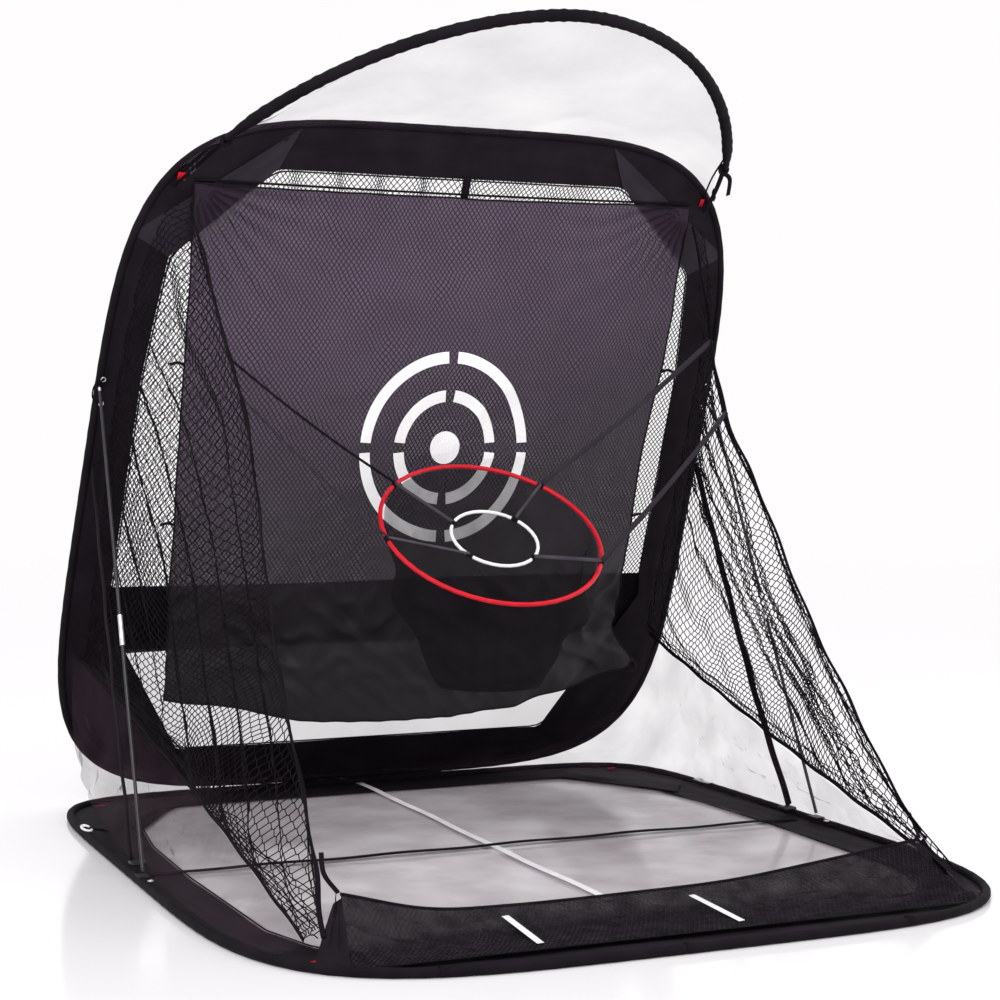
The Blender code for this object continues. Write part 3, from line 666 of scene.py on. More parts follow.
def build_back_net():
    """The knotted net in the frame's window, bunched along its top edge, and the band across it."""
    wobble, sag, gather = waves(11, 9, 0.5, 2.4), waves(12, 6, 0.3, 1.0), waves(13, 8, 3.0, 8.0)
    lines = []
    for line in net_lines(mirror_loop(NET_WINDOW), *DIAMOND, 0.045):
        x, h = line[:, 0], line[:, 1]
        bunch = ramp(h, 1.95, 2.13)
        x2 = x + 0.007 * wobble(x, h) + 0.010 * bunch * gather(x, h * 0.1)
        h2 = h + 0.007 * wobble(h + 3, x) - 0.010 * bunch * wobble(x * 2, h)
        lines.append(on_frame(x2, h2, -0.0020 - 0.004 * (1 + sag(x, h))))
    riding("upright", twines("back_net_twine", lines, BACK_TWINE), "back_net")
    build_low_veil()
    u = np.linspace(-0.95, 0.95, 90)[None, :]
    v = np.linspace(0, 1, 9)[:, None]
    h = BAND_LOW + (BAND_HIGH - BAND_LOW) * v + 0.006 * np.sin(u * 5) * (v - 0.5)
    grid = on_frame(u + 0 * v, h, -0.0105 - 0.0006 * waves(14, 6, 1, 4)(u, v))
    cloth = grid_object("back_band_cloth", grid, "border")
    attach(cloth, "upright")
    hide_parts("back_band")


def build_low_veil():
    """The fine mesh that closes the window below the band."""
    window = mirror_loop(FRAME_WINDOW)
    right = window[: len(FRAME_WINDOW)][::-1]
    h = np.linspace(0.152, BAND_LOW + 0.012, 26)[:, None]
    half = np.interp(h, right[:, 1], right[:, 0]) + 0.008
    u = np.linspace(-1, 1, 121)[None, :]
    x = u * half
    crease = waves(15, 8, 0.8, 3.2)(x * 1.2, h * 3)
    grid = on_frame(x, h + 0 * u, -0.005 - 0.003 * np.abs(crease))
    veil_piece = grid_object("back_low_veil", grid, "window_veil")
    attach(veil_piece, "upright")


# ---- target sheet ----
SHEET_LINE = [
    (0.800, 0.345, 1.917), (0.790, 0.479, 1.470), (0.780, 0.655, 1.050), (0.770, 0.780, 0.600),
    (0.765, 0.880, 0.372),
]
SHEET_CURVE, SHEET_STEPS = smooth_path(SHEET_LINE, 200), np.linspace(0, 1, 201)
SHEET_BELLY, SHEET_BULGE, SHEET_DROOP = 0.012, 0.200, 0.085
TARGET_X, TARGET_Z = 0.024, 1.160


def sheet_point(u, v):
    """u from -1 (left) to 1 (right), v from 0 (top) to 1 (bottom), with the sheet's folds."""
    half, y, z = (np.interp(v, SHEET_STEPS, SHEET_CURVE[:, k]) for k in range(3))
    x = u * half
    swell = np.cos(math.pi / 2 * u)
    low = ramp(v, 0.60, 0.95)
    slack = waves(21, 7, 0.6, 2.0)(x, v * 1.4)
    creases = -np.abs(waves(22, 9, 0.9, 3.4)(x + 0.4 * v, v * 1.3))
    crumple = -np.abs(waves(23, 13, 2.2, 8.5)(x, v * 1.8))
    depth = 0.007 * slack * (0.5 + v) + 0.006 * creases
    depth += 0.017 * low * crumple * (1 - 0.85 * ramp(v, 0.90, 0.99))
    depth += 0.012 * low * np.sin(8.0 * x + 3.5 * np.sin(3.2 * x + 2 * v) + 2 * v)
    for s in (-1, 1):
        across, down = (1 - s * u) * 0.8, v * 1.6
        reach = np.hypot(across, down)
        turn = np.arctan2(down, across + 1e-9)
        fan = ramp(reach, 0.01, 0.08) * np.exp(-((reach / 0.34) ** 2))
        depth += 0.009 * fan * np.sin(30 * turn + 2 * slack)
    scallop = np.abs(np.sin(5.5 * math.pi * u)) * ramp(1 - v, 0.90, 1.0)
    depth += 0.016 * swell * np.sin(math.pi * np.clip(v * 1.3, 0, 1)) + 0.004 * scallop
    z = z - 0.010 * swell * ramp(1 - v, 0.8, 1.0) - SHEET_DROOP * swell * v**3
    z = z + 0.006 * np.sin(9 * x + 1) * low
    knot = ramp(u, 0.30, 1.0) ** 2 * ramp(v, 0.84, 1.0) ** 2
    x = x + 0.105 * knot
    z = z + 0.030 * knot
    pleat = ramp(u, 0.2, 0.9) * ramp(v, 0.80, 1.0)
    depth += 0.012 * pleat * np.sin(44 * (v - 0.55 * u))
    hang = (SHEET_BELLY + SHEET_BULGE * ramp(v, 0.02, 0.92)) * swell
    return np.stack([x, y - hang - depth * 0.93, z - depth * 0.35], -1)


def hang_on_sheet(obj):
    """The piece swings with the sheet, with a mesh of its own."""
    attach(obj, "sheet")
    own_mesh(obj)


def build_sheet():
    """The target sheet, its hems all round, its ties and its printed target."""
    u, v = np.meshgrid(np.linspace(-1, 1, 241), np.linspace(0, 1, 221))
    cloth = grid_object("target_sheet_cloth", sheet_point(u, v), "sheet")
    hang_on_sheet(cloth)
    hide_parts("target_sheet")
    along, flat = np.linspace(-1, 1, 140), np.ones(140)
    edges = {
        "top": (along, 0 * flat), "bottom": (along, flat),
        "left": (-flat, (along + 1) / 2), "right": (flat, (along + 1) / 2),
    }
    for name, (u, v) in edges.items():
        hang_on_sheet(tube(f"sheet_hem_{name}", sheet_point(u, v), 0.0028, "border", 6))
    build_sheet_ties()
    build_target()


def build_sheet_ties():
    """The hanging cord along the top, the side toggles, and the knotted lower corner."""
    x = np.linspace(-0.80, 0.80, 80)
    sag = 0.006 * np.cos(math.pi / 2 * x / 0.8)
    cord = tube("sheet_hang_cord", on_frame(x, 2.100 - sag, 0.0085), 0.0034, "webbing", 8)
    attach(cord, "upright")
    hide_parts("sheet_top_cord")
    tab_path = on_frame(0.030, np.linspace(2.150, 2.085, 8), 0.014)
    tab = strap("sheet_top_tab", tab_path, (1, 0, 0), 0.026, "webbing")
    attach(tab, "upright")
    for word, s in SIDES:
        for k, v in enumerate((0.33, 0.64)):
            start = sheet_point(np.array([float(s)]), np.array([v]))[0]
            path = smooth_path([start, start + (s * 0.022, -0.004, 0.006), start + (s * 0.044, 0.0, 0.0)], 8)
            hang_on_sheet(tube(f"sheet_tie_{word}_{k + 1}", path, 0.0045, "webbing", 8))
    corner = sheet_point(np.array([1.0]), np.array([1.0]))[0]
    a = np.linspace(0, 11, 60)
    loops = corner + 0.016 * np.stack([np.cos(a), 0.35 * np.sin(2 * a), np.sin(a)], 1)
    hang_on_sheet(tube("sheet_corner_knot", loops, 0.008, "border", 8))


def sheet_at(x, z):
    """The sheet's point straight ahead of (x, z), and a little in front of it."""
    v = np.interp(-z, -SHEET_CURVE[:, 2], SHEET_STEPS)
    for _ in range(4):
        found = sheet_point(x / np.interp(v, SHEET_STEPS, SHEET_CURVE[:, 0]), v)
        v = np.clip(v + (found[..., 2] - z) / 1.68, 0, 1)
    found = sheet_point(x / np.interp(v, SHEET_STEPS, SHEET_CURVE[:, 0]), v)
    return found + np.array((0, -0.0022, -0.0008))


def arc_patch(name, inner, outer, start, stop):
    a = np.radians(np.linspace(start, stop, max(6, int(abs(stop - start)))))[:, None]
    r = np.linspace(inner, outer, 8)[None, :]
    grid = sheet_at(TARGET_X + r * np.cos(a), TARGET_Z + r * np.sin(a) * 1.05)
    hang_on_sheet(grid_object(name, grid, "print"))


def build_target():
    for ring, (inner, outer, gap) in enumerate(((0.245, 0.279, 3.2), (0.134, 0.168, 5.5))):
        for k in range(4):
            arc_patch(f"target_ring_{ring + 1}_{k + 1}", inner, outer, 90 * k + gap, 90 * (k + 1) - gap)
    arc_patch("target_dot", 0.0005, 0.048, 0, 360)


# ---- roof ----
# The roof mesh's folds: where each starts and ends on the mesh, and its width.
ROOF_FOLDS = ((0.80, 0.16, 0.985, 0.62, 0.020), (0.90, 0.30, 0.99, 0.80, 0.012))


def build_roof():
    """The arch's gathered sleeve, the mesh stretched from it to the frame, and two folds in the mesh."""
    angle = np.linspace(ROOF_START - math.radians(1.5), math.pi - ROOF_START + math.radians(1.5), 150)
    arch = on_roof(angle)
    rise = np.array((0, math.sin(ROOF_RISE), math.cos(ROOF_RISE)))
    rng = np.random.default_rng(8)
    gather = 1 + 0.10 * np.sin(np.arange(150) * 2.3) * rng.uniform(0.2, 1, 150)
    ends = np.minimum(np.arange(150), np.arange(150)[::-1]) / 7
    gather *= 0.55 + 0.45 * ramp(ends, 0, 1)
    sleeve = tube("roof_sleeve_cloth", arch, ROOF_SLEEVE_RADIUS, "sleeve", 16, False, rise, gather)
    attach(sleeve, "roof")
    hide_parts("roof_sleeve", "roof_rod")
    s, t = np.meshgrid(np.linspace(0, 1, 121), np.linspace(0, 1, 51))
    veil_piece = grid_object("roof_veil", roof_point(s, t), "roof")
    roof_blend(veil_piece)
    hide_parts("roof_mesh")
    folds = []
    # Each fold is a strip of the darker fold mesh: denser layers, with painted shade along the crease.
    for k, (s0, t0, s1, t1, width) in enumerate(ROOF_FOLDS):
        f = np.linspace(0, 1, 40)[None, :]
        w = np.linspace(-0.5, 0.5, 5)[:, None] * width * np.sin(math.pi * np.clip(f, 0.04, 0.96))
        fold = roof_point(s0 + (s1 - s0) * f + 0 * w, t0 + (t1 - t0) * f + w) - np.array((0, 0, 0.004))
        folds.append(grid_object(f"roof_fold_{k + 1}", fold, "roof_fold"))
        roof_blend(folds[-1])
    build_roof_straps()


def roof_blend(obj):
    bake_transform(obj)


def roof_point(s, t):
    """The roof mesh: s from the arch's right end to its left, t from the arch to the frame's top edge."""
    centre = ROOF_CENTRE + np.array((0, -math.cos(ROOF_RISE), math.sin(ROOF_RISE))) * 0.55
    edge = on_roof(ROOF_START + (math.pi - 2 * ROOF_START) * s.ravel()).reshape(s.shape + (3,))
    edge = edge + unit(centre - edge) * 0.012
    x = 0.86 * np.cos(math.pi * s)
    rim = frame_line(-0.002, 400)
    rim = rim[rim[:, 1] > FRAME_HEIGHT / 2]
    rim = rim[np.argsort(rim[:, 0])]
    back = on_frame(x, np.interp(x, rim[:, 0], rim[:, 1]), 0.012)
    grid = edge * (1 - t[..., None]) + back * t[..., None]
    sag = -0.030 * np.sin(math.pi * t) * np.sin(math.pi * s) + 0.006 * waves(31, 7, 0.6, 3.0)(s * 1.5, t)
    ends = ramp(np.abs(s - 0.5), 0.25, 0.5)
    sag = sag + (0.010 + 0.014 * ends) * np.sin(40 * s + 6 * t * ends) * t * (1 - t) * 2
    return grid + sag[..., None] * np.array((0, 0.35, 0.94))


def build_roof_straps():
    """Each arch end is held by a strap through a ladder lock and a thin cord to the frame's corner."""
    a = np.linspace(0, 9, 40)
    coil = np.stack([np.cos(a), 0.4 * np.sin(a * 16 / 9), np.sin(a)], 1)
    for word, s in SIDES:
        end = on_roof(np.array([math.pi - ROOF_START if s < 0 else ROOF_START]))[0]
        corner, inner = np.array((s * 0.860, 0.352, 1.905)), np.array((s * 0.842, 0.330, 1.945))
        path = smooth_path([corner, mix(corner, end, 0.5) + (s * 0.004, 0, -0.004), end], 24)
        web = roof_strap(f"roof_strap_web_{word}", path, 0.018)
        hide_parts(f"roof_strap_{word}")
        middle = mix(inner, end, 0.5) + (-s * 0.010, 0.0, 0.006)
        cord = smooth_path([inner, middle, end + (-s * 0.012, 0, 0.004)], 20)
        roof_blend(tube(f"roof_cord_{word}", cord, 0.0028, "webbing", 8))
        tail = [
            mix(corner, end, 0.80), mix(corner, end, 0.70) + (s * 0.028, -0.012, -0.004),
            mix(corner, end, 0.45) + (s * 0.040, -0.016, -0.016),
        ]
        roof_strap(f"roof_strap_tail_{word}", smooth_path(tail, 16), 0.014)
        roof_blend(tube(f"roof_knot_{word}", mix(corner, end, 0.86) + 0.012 * coil, 0.006, "webbing", 8))


def roof_strap(name, path, width):
    web = strap(name, path, (1, 0, 0.2), width, "webbing")
    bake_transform(web)
    return web


# ---- side nets, skirts, webbings ----
FRONT_WEBS = {
    -1: [
        (0.812, 0.345, 1.855), (0.800, 0.215, 1.660), (0.784, 0.098, 1.457), (0.774, 0.040, 1.380),
        (0.768, -0.060, 1.230), (0.766, -0.130, 1.060), (0.776, -0.232, 0.886), (0.784, -0.310, 0.760),
        (0.791, -0.450, 0.538), (0.798, -0.613, 0.345), (0.816, -0.760, 0.190), (0.870, -0.985, 0.060),
    ],
    1: [
        (0.812, 0.345, 1.855), (0.797, 0.225, 1.620), (0.785, 0.170, 1.470), (0.775, 0.108, 1.351),
        (0.770, 0.020, 1.210), (0.767, -0.140, 1.040), (0.780, -0.309, 0.798), (0.789, -0.430, 0.635),
        (0.793, -0.589, 0.470), (0.800, -0.759, 0.287), (0.828, -0.870, 0.165), (0.870, -0.985, 0.060),
    ],
}
NET_REAR = [(0.985, 0.560), (0.980, 1.000), (0.965, 1.500), (0.930, 1.820), (0.870, 2.020)]
LOWER_REAR, LOWER_FRONT = np.array((1.000, 0.985, 0.500)), np.array((0.897, -0.925, 0.046))
LOWER_DRAW = 0.020
PLEAT, PLEAT_DEPTH = 0.165, 0.036


def lower_path(count, s):
    """The lower webbing, from the frame to the base's front corner, drawn in by the net."""
    t = np.linspace(0, 1, count + 1)[:, None]
    p = LOWER_REAR * (1 - t) + LOWER_FRONT * t
    p[:, 0] -= LOWER_DRAW * np.sin(math.pi * t[:, 0])
    return p * (s, 1, 1)


def net_surface(s, seed):
    """A function from (y, z) on the side panel to a point with its pleats, and the panel's outline."""
    front = smooth_path(FRONT_WEBS[s], 60)
    rear = smooth_path(on_frame(*np.array(NET_REAR).T, 0.010), 60)
    low = lower_path(60, 1)
    outline = np.vstack([low[:, 1:], front[::-1][:, 1:], rear[::-1][:, 1:]])
    anchors = np.vstack([front, rear, low])
    slow, quick = waves(seed, 7, 0.4, 1.3), waves(seed + 1, 9, 2.0, 7.0)
    mouth = front[np.argsort(front[:, 2])]

    def point(y, z):
        near = np.stack([y, z], -1)
        gap = np.linalg.norm(near[:, None] - anchors[None, :, 1:], axis=2)
        weight = 1 / np.maximum(gap, 0.004) ** 2.2
        x = (weight * anchors[None, :, 0]).sum(1) / weight.sum(1)
        free = np.clip(gap.min(1) / 0.09, 0, 1)
        back = y - np.interp(z, mouth[:, 2], mouth[:, 1])
        turn = (back / PLEAT + 0.32 * slow(y, z)) % 1.0
        saw = np.where(turn < 0.62, turn / 0.62, (1 - turn) / 0.38) - 0.5
        fold = -s * PLEAT_DEPTH * saw * (1 - 0.55 * ramp(back, 0.5, 1.0))
        x = x + free * (fold + 0.014 * slow(y, z) - 0.016)
        y2 = y + free * 0.0040 * quick(y, z)
        z2 = z + free * 0.0045 * quick(z + 5, y)
        return np.stack([x * s, y2, z2], -1)

    return point, outline


def inside(loop, p):
    """Which points lie inside the closed loop."""
    a, b = loop, np.roll(loop, -1, 0)
    rise = b[:, 1] - a[:, 1]
    rise = np.where(rise == 0, 1e-12, rise)
    high = p[:, 1:]
    between = (high >= np.minimum(a[:, 1], b[:, 1])) & (high < np.maximum(a[:, 1], b[:, 1]))
    cross = a[:, 0] + (high - a[:, 1]) * (b[:, 0] - a[:, 0]) / rise
    return (between & (p[:, :1] < cross)).sum(1) % 2 == 1


def hex_lines(outline, angle, pitch, length, warp):
    """Zigzag strands over an outline whose flattened peaks touch their neighbours', so they close
    six-sided meshes: pitch is the distance between strands, length the length of one mesh."""
    low, high = outline.min(0), outline.max(0)
    centre, size = (low + high) / 2, np.linalg.norm(high - low) / 2
    along = np.array((math.cos(angle), math.sin(angle)))
    square = np.array((-along[1], along[0]))
    turns = int(2 * size / length) + 2
    lines = []
    for k in range(int(-size / pitch), int(size / pitch) + 1):
        j = np.repeat(np.arange(-turns, turns), 2)
        t = j * length / 2 + np.tile((-0.16, 0.16), 2 * turns) * length / 2
        swing = np.where((j + k) % 2 == 0, 0.5, -0.5) * pitch * 0.96
        line = centre + square * (k * pitch + swing)[:, None] + along * t[:, None]
        lines += inside_runs(outline, line + warp(line))
    return lines


def inside_runs(outline, line):
    """The stretches of a polyline inside the outline, each ended on the outline itself."""
    keep = inside(outline, line)
    change = np.flatnonzero(np.diff(keep.astype(int))) + 1
    runs = []
    for run in np.split(np.arange(len(line)), change):
        if not keep[run[0]] or len(run) < 2:
            continue
        piece = [line[run]]
        if run[0] > 0:
            piece.insert(0, crossing(outline, line[run[0]], line[run[0] - 1])[None])
        if run[-1] < len(line) - 1:
            piece.append(crossing(outline, line[run[-1]], line[run[-1] + 1])[None])
        runs.append(np.vstack(piece))
    return runs


def crossing(outline, within, without):
    """The place where a strand crosses the outline, by halving."""
    for _ in range(4):
        middle = (within + without) / 2
        if inside(outline, middle[None])[0]:
            within = middle
        else:
            without = middle
    return within


def build_side(word, s):
    """One side panel: its net, the webbings along its front and lower edges, and the skirt below."""
    point, outline = net_surface(s, 41 if s < 0 else 47)
    shift = waves(51, 6, 0.25, 0.8)

    def warp(p):
        return np.stack([0.050 * shift(p[:, 0], p[:, 1]), 0.040 * shift(p[:, 1] + 2, p[:, 0])], 1)

    flat = hex_lines(outline, math.radians(-8), 0.0128, 0.0310, warp)
    flat += edge_gathers(s)
    net = twines(f"side_net_twine_{word}", [point(line[:, 0], line[:, 1]) for line in flat], SIDE_TWINE)
    soft(net, f"side_net_{word}")
    front = smooth_path(FRONT_WEBS[s], 120) * (s, 1, 1)
    front[:, 0] += s * 0.003 * np.sin(np.arange(121) * 0.45)
    soft(strap(f"front_web_{word}", front, (0, 1, 0.5), 0.013, "webbing", 0.004), f"front_webbing_{word}")
    low = lower_path(120, s)
    low[:, 2] += 0.0025 * np.sin(np.arange(121) * 0.4)
    soft(strap(f"lower_web_{word}", low, (0, 0.1, 1), 0.013, "webbing", 0.004), f"lower_webbing_{word}")
    build_skirt(word, s)


def edge_gathers(s):
    """Strands bunched along the panel's lower and front edges, where the net is drawn together."""
    rng = np.random.default_rng(55 if s < 0 else 56)
    low, front = lower_path(110, 1)[:, 1:], smooth_path(FRONT_WEBS[s], 110)[:, 1:]
    lines = []
    for _ in range(11 if s < 0 else 4):
        start, wave, phase = rng.uniform(0.002, 0.050), rng.uniform(0.10, 0.30), rng.uniform(0, 6)
        reach = start + 0.006 * np.sin(np.arange(111) * wave + phase)
        lines.append(low + np.stack([-0.23 * reach, 0.97 * reach], 1).clip(-0.06, 0.06))
    for _ in range(5):
        start, wave, phase = rng.uniform(0.003, 0.020), rng.uniform(0.10, 0.40), rng.uniform(0, 6)
        reach = start + 0.004 * np.sin(np.arange(111) * wave + phase)
        lines.append((front + np.stack([0.80 * reach, -0.60 * reach], 1))[4:-6])
    return lines


def soft(obj, *nodes):
    """A soft piece between the base and the leaning frame: it rides with the base, with a mesh of its own,
    and stands for the CAD nodes that are named.
    """
    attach(obj, "base")
    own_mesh(obj)
    if nodes:
        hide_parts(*nodes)
    return obj


def skirt_foot(t, s):
    """The skirt's lower edge, just inside the base loop, from t = 0 at the rear."""
    y = 1.175 - 2.075 * t
    a, b = BASE_HALF_WIDTH - 0.045, BASE_HALF_DEPTH - 0.045
    power = np.where(y > 0, REAR_POWER, FRONT_POWER)
    return np.stack([s * a * (1 - np.abs(y / b) ** power) ** (1 / power), y, np.full_like(y, 0.010)], -1)


def skirt_rear(v, s, top, foot):
    """How far the skirt's rear edge bows from a straight line, to follow the frame's rounded corner."""
    height = np.interp(v, (0, 1), (0.545, 0.030))
    rim = frame_line(0.030, 400)
    rim = rim[(rim[:, 0] > 0) & (rim[:, 1] < FRAME_HEIGHT / 2)]
    rim = rim[np.argsort(rim[:, 1])]
    edge = on_frame(s * np.interp(height, rim[:, 1], rim[:, 0]), height, 0.006)
    return edge - (top * (1 - v[:, None]) + foot * v[:, None])


def build_skirt(word, s):
    """The fine mesh from the lower webbing down to the base, drawn into folds towards its rear."""
    n = 160
    top = lower_path(n, s) - np.array((0, 0, 0.010))
    foot = skirt_foot(np.linspace(0, 1, n + 1), s)
    v = np.linspace(0, 1, 30)[:, None, None]
    grid = top[None] * (1 - v) + foot[None] * v
    t, down = np.linspace(0, 1, n + 1)[None, :], v[..., 0]
    grid = grid + skirt_rear(v[:, 0, 0], s, top[0], foot[0])[:, None, :] * ((1 - t) ** 9)[..., None]
    spread = waves(61, 6, 1.0, 4.0)(t, down)
    creases = -np.abs(waves(62, 9, 1.5, 5.0)(t * 2 + down, down * 0.8 - t))
    wrinkle = 0.010 * np.sin(48 * np.sqrt(t + 0.02) * (1 + 0.3 * down) + spread)
    wrinkle = wrinkle + 0.008 * spread + 0.016 * creases
    grid[..., 0] += s * wrinkle * np.sin(math.pi * down) * (1 - 0.6 * t) * ramp(t, 0.0, 0.12)
    piece = grid_object(f"skirt_veil_{word}", grid, "skirt")
    soft(piece, f"skirt_{word}")


# ---- floor, tapes, lip ----
LIP_CORD = [
    (-0.800, -0.905, 0.137), (-0.575, -0.885, 0.078), (-0.340, -0.850, 0.057), (0.0, -0.830, 0.053),
    (0.270, -0.840, 0.062), (0.500, -0.865, 0.091), (0.800, -0.905, 0.137),
]


def build_floor():
    """The floor mesh in the base's window, the long tape on it and the strap across it."""
    window = mirror_loop(BASE_WINDOW)
    field, fine = waves(71, 8, 0.6, 2.4), waves(72, 9, 1.5, 5.0)
    turn = 2 * math.pi * np.arange(120) / 120
    hits = np.array([ray_hit(window, np.zeros(2), np.array((math.cos(a), math.sin(a)))) for a in turn])
    rows = []
    for k in range(1, 31):
        x, y = (hits * (k / 30) * 1.006).T
        rows.append(on_floor(x, y, 0.0030 + 0.0012 * field(x, y) + 0.0016 * np.abs(fine(x, y))))
    floor = grid_object("floor_veil_cloth", np.array(rows), "floor_veil", closed=True)
    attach(floor, "base")
    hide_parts("floor_mesh")
    t = np.linspace(0, 1, 80)
    path = on_floor(0.003 * np.sin(7 * t), 1.215 - 1.915 * t, 0.0078 + 0.0012 * np.sin(23 * t))
    add_tape("centre", path, 0.024)
    t = np.linspace(-1, 1, 80)
    path = on_floor(t * 1.02, 0.055 + 0.004 * np.sin(5 * t), 0.0100 + 0.0015 * np.sin(17 * t))
    riding("base", strap("cross_strap_web", path, (0, 1, 0), 0.030, "webbing"), "base_cross_strap")


def add_tape(word, path, width):
    tape = strap(f"floor_tape_{word}_cloth", path, (1, 0, 0), width, "tape", 0.0010)
    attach(tape, "base")
    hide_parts(f"floor_tape_{word}")


def lip_point(x, v):
    """The lip's mesh: v from 0 at the raised cord to 1 on the front border."""
    cord = smooth_path(LIP_CORD, 120)
    y, z = np.interp(x, cord[:, 0], cord[:, 1]), np.interp(x, cord[:, 0], cord[:, 2])
    field = waves(81, 7, 1.2, 4.5)(x, v)
    crease = -np.abs(waves(82, 9, 2.0, 7.0)(x, v * 0.6))
    sag = 0.014 - 0.006 * field - 0.008 * crease
    height = z * (1 - v) + 0.0165 * v - sag * np.sin(math.pi * v)
    return np.stack([x * (1 + 0.06 * v), y * (1 - v) - 1.125 * v, np.maximum(height, 0.0155)], -1)


def build_lip():
    """The raised front edge: its cord, its mesh, the tapes over it and its two ends."""
    cord = smooth_path(LIP_CORD, 90)
    riding("base", tube("lip_cord_elastic", cord, 0.0042, "webbing", 8), "lip_cord")
    x, v = np.meshgrid(np.linspace(-0.800, 0.800, 181), np.linspace(0, 1, 30))
    veil_piece = riding("base", grid_object("lip_veil", lip_point(x, v), "lip"), "lip_mesh")
    build_lip_net()
    for word, start in (("left", -0.388), ("right", 0.126)):
        v = np.linspace(0.16, 0.82, 24)
        over = lip_point(start + 0.040 * v, v)
        path = mix(over[0], over[-1], v[:, None] / 0.66 - 0.24) + np.array((0, -0.010, 0.006))
        add_tape(word, path, 0.019)
    for word, s in SIDES:
        build_lip_corner(word, s)


def build_lip_net():
    """The coarser net that lies over the lip's mesh."""
    lines = []
    for sign in (-1, 1):
        for start in np.arange(-1.0, 1.0, 0.013):
            v = np.linspace(0, 1, 14)
            x = start + sign * 0.16 * v
            keep = np.abs(x) < 0.80
            if keep.sum() > 2:
                lines.append(lip_point(x[keep], v[keep]) + np.array((0, -0.001, 0.002)))
    net = twines("lip_net_twine", lines, 0.0008, "lip_twine")
    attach(net, "base")


LIP_POST = np.array(((0.812, -0.905, 0.134), (0.832, -0.960, 0.070), (0.850, -1.010, 0.014)))
LIP_TIE = np.array(((0.806, -0.905, 0.140), (0.822, -0.850, 0.175), (0.812, -0.800, 0.215)))


def build_lip_corner(word, s):
    """The lip's end: a post strap, the tie that holds it up and a pleated wedge beside it."""
    side = np.array((s, 1, 1))
    post = strap(f"lip_post_web_{word}", smooth_path(LIP_POST * side, 12), (s * 0.3, -1, 0), 0.022, "webbing")
    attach(post, "base")
    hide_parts(f"lip_post_{word}")
    tie = strap(f"lip_tie_web_{word}", smooth_path(LIP_TIE * side, 12), (s * 1.0, 0.3, 0), 0.012, "webbing")
    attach(tie, "base")
    u, v = np.linspace(0, 1, 28)[None, :, None], np.linspace(0, 1, 16)[:, None, None]
    near = mix((0.798, -0.905, 0.128), (0.845, -1.105, 0.016), v)
    far = mix((0.822, -0.915, 0.120), (0.905, -1.030, 0.014), v)
    grid = mix(near, far, u) * side
    grid[..., 1] -= 0.006 * np.sin(18 * u[..., 0]) * np.sin(math.pi * v[..., 0]) + 0.002
    flap = riding("base", grid_object(f"lip_gusset_cloth_{word}", grid, "border"), f"lip_gusset_{word}")



# ---- poles, straps, fittings ----
def dress_cad_nodes():
    """Give every CAD node that stays visible its procedural material."""
    kinds = {
        "pole_lower": "rod", "pole_upper": "rod", "pole_ferrule": "silver", "pole_foot": "black_plastic",
        "pole_tip": "silver", "pole_socket": "black_plastic", "ring_hoop": "red", "inner_hoop": "white",
        "roof_buckle": "black_plastic",
    }
    for obj in bpy.data.objects:
        if obj.type != "MESH" or obj.hide_render:
            continue
        for key, material in kinds.items():
            if obj.name.startswith(key):
                obj.data.materials.clear()
                obj.data.materials.append(MATERIALS[material])


TENSION_LINE = [(1.022, 0.700, 1.100), (1.027, 0.575, 0.850), (1.035, 0.348, 0.407), (1.045, 0.130, 0.036)]
# Each strap: its angle on the inner hoop, its angle on the ring, its outer end and its width.
RING_STRAPS = {
    "front_left": (216, 184, (-0.770, -0.015, 1.300), 0.007),
    "front_right": (312, 332, (0.772, 0.055, 1.268), 0.015),
    "rear_left": (146, 134, (-0.775, 0.055, 1.400), 0.009),
    "rear_right": (42, 43, (0.788, 0.176, 1.490), 0.016),
}


def build_straps():
    for word, s in SIDES:
        path = smooth_path(np.array(TENSION_LINE) * (s, 1, 1), 50)
        path[:, 0] += s * 0.0015 * np.sin(np.arange(51) * 0.7)
        soft(strap(f"tension_web_{word}", path, (0, 1, 0), 0.036, "webbing"), f"tension_strap_{word}")
    for word, facts in RING_STRAPS.items():
        build_ring_strap(word, *facts)


def build_ring_strap(word, near_angle, over_angle, out, width):
    """A strap from the inner hoop over the ring and out to the side net, wrapped at both hoops."""
    near = on_ring(INNER_RADIUS + 0.002, math.radians(near_angle), 0.008, INNER_CENTRE)
    over = on_ring(RING_RADIUS, math.radians(over_angle), 0.010)
    across = np.array((0.0, 0.25, 1.0))
    path = resample(np.array([over, out]), 40)
    path[:, 2] -= 0.012 * np.sin(math.pi * np.linspace(0, 1, 41))
    # Three of the straps take the gusset cloth, whose lighter colour is a painted sheen.
    material = "webbing" if word == "rear_left" else "gusset"
    soft(strap(f"ring_web_{word}", path, across, width, material), f"ring_strap_{word}")
    path = resample(np.array([near, over]), 12)
    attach(strap(f"ring_link_{word}", path, across, min(width, 0.011), "grey_web"), "ring")
    wrap_hoop(f"ring_wrap_outer_{word}", RING_CENTRE, over_angle, RING_RADIUS, RING_TUBE)
    wrap_hoop(f"ring_wrap_inner_{word}", INNER_CENTRE, near_angle, INNER_RADIUS, INNER_TUBE)


def wrap_hoop(name, centre, angle, radius, tube_radius):
    """A short turn of webbing round a hoop, 22 mm along it."""
    turn = math.radians(angle) + np.linspace(-1, 1, 7) * 0.011 / radius
    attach(tube(name, on_ring(radius, turn, 0.0, centre), tube_radius + 0.0016, "webbing", 12), "ring")


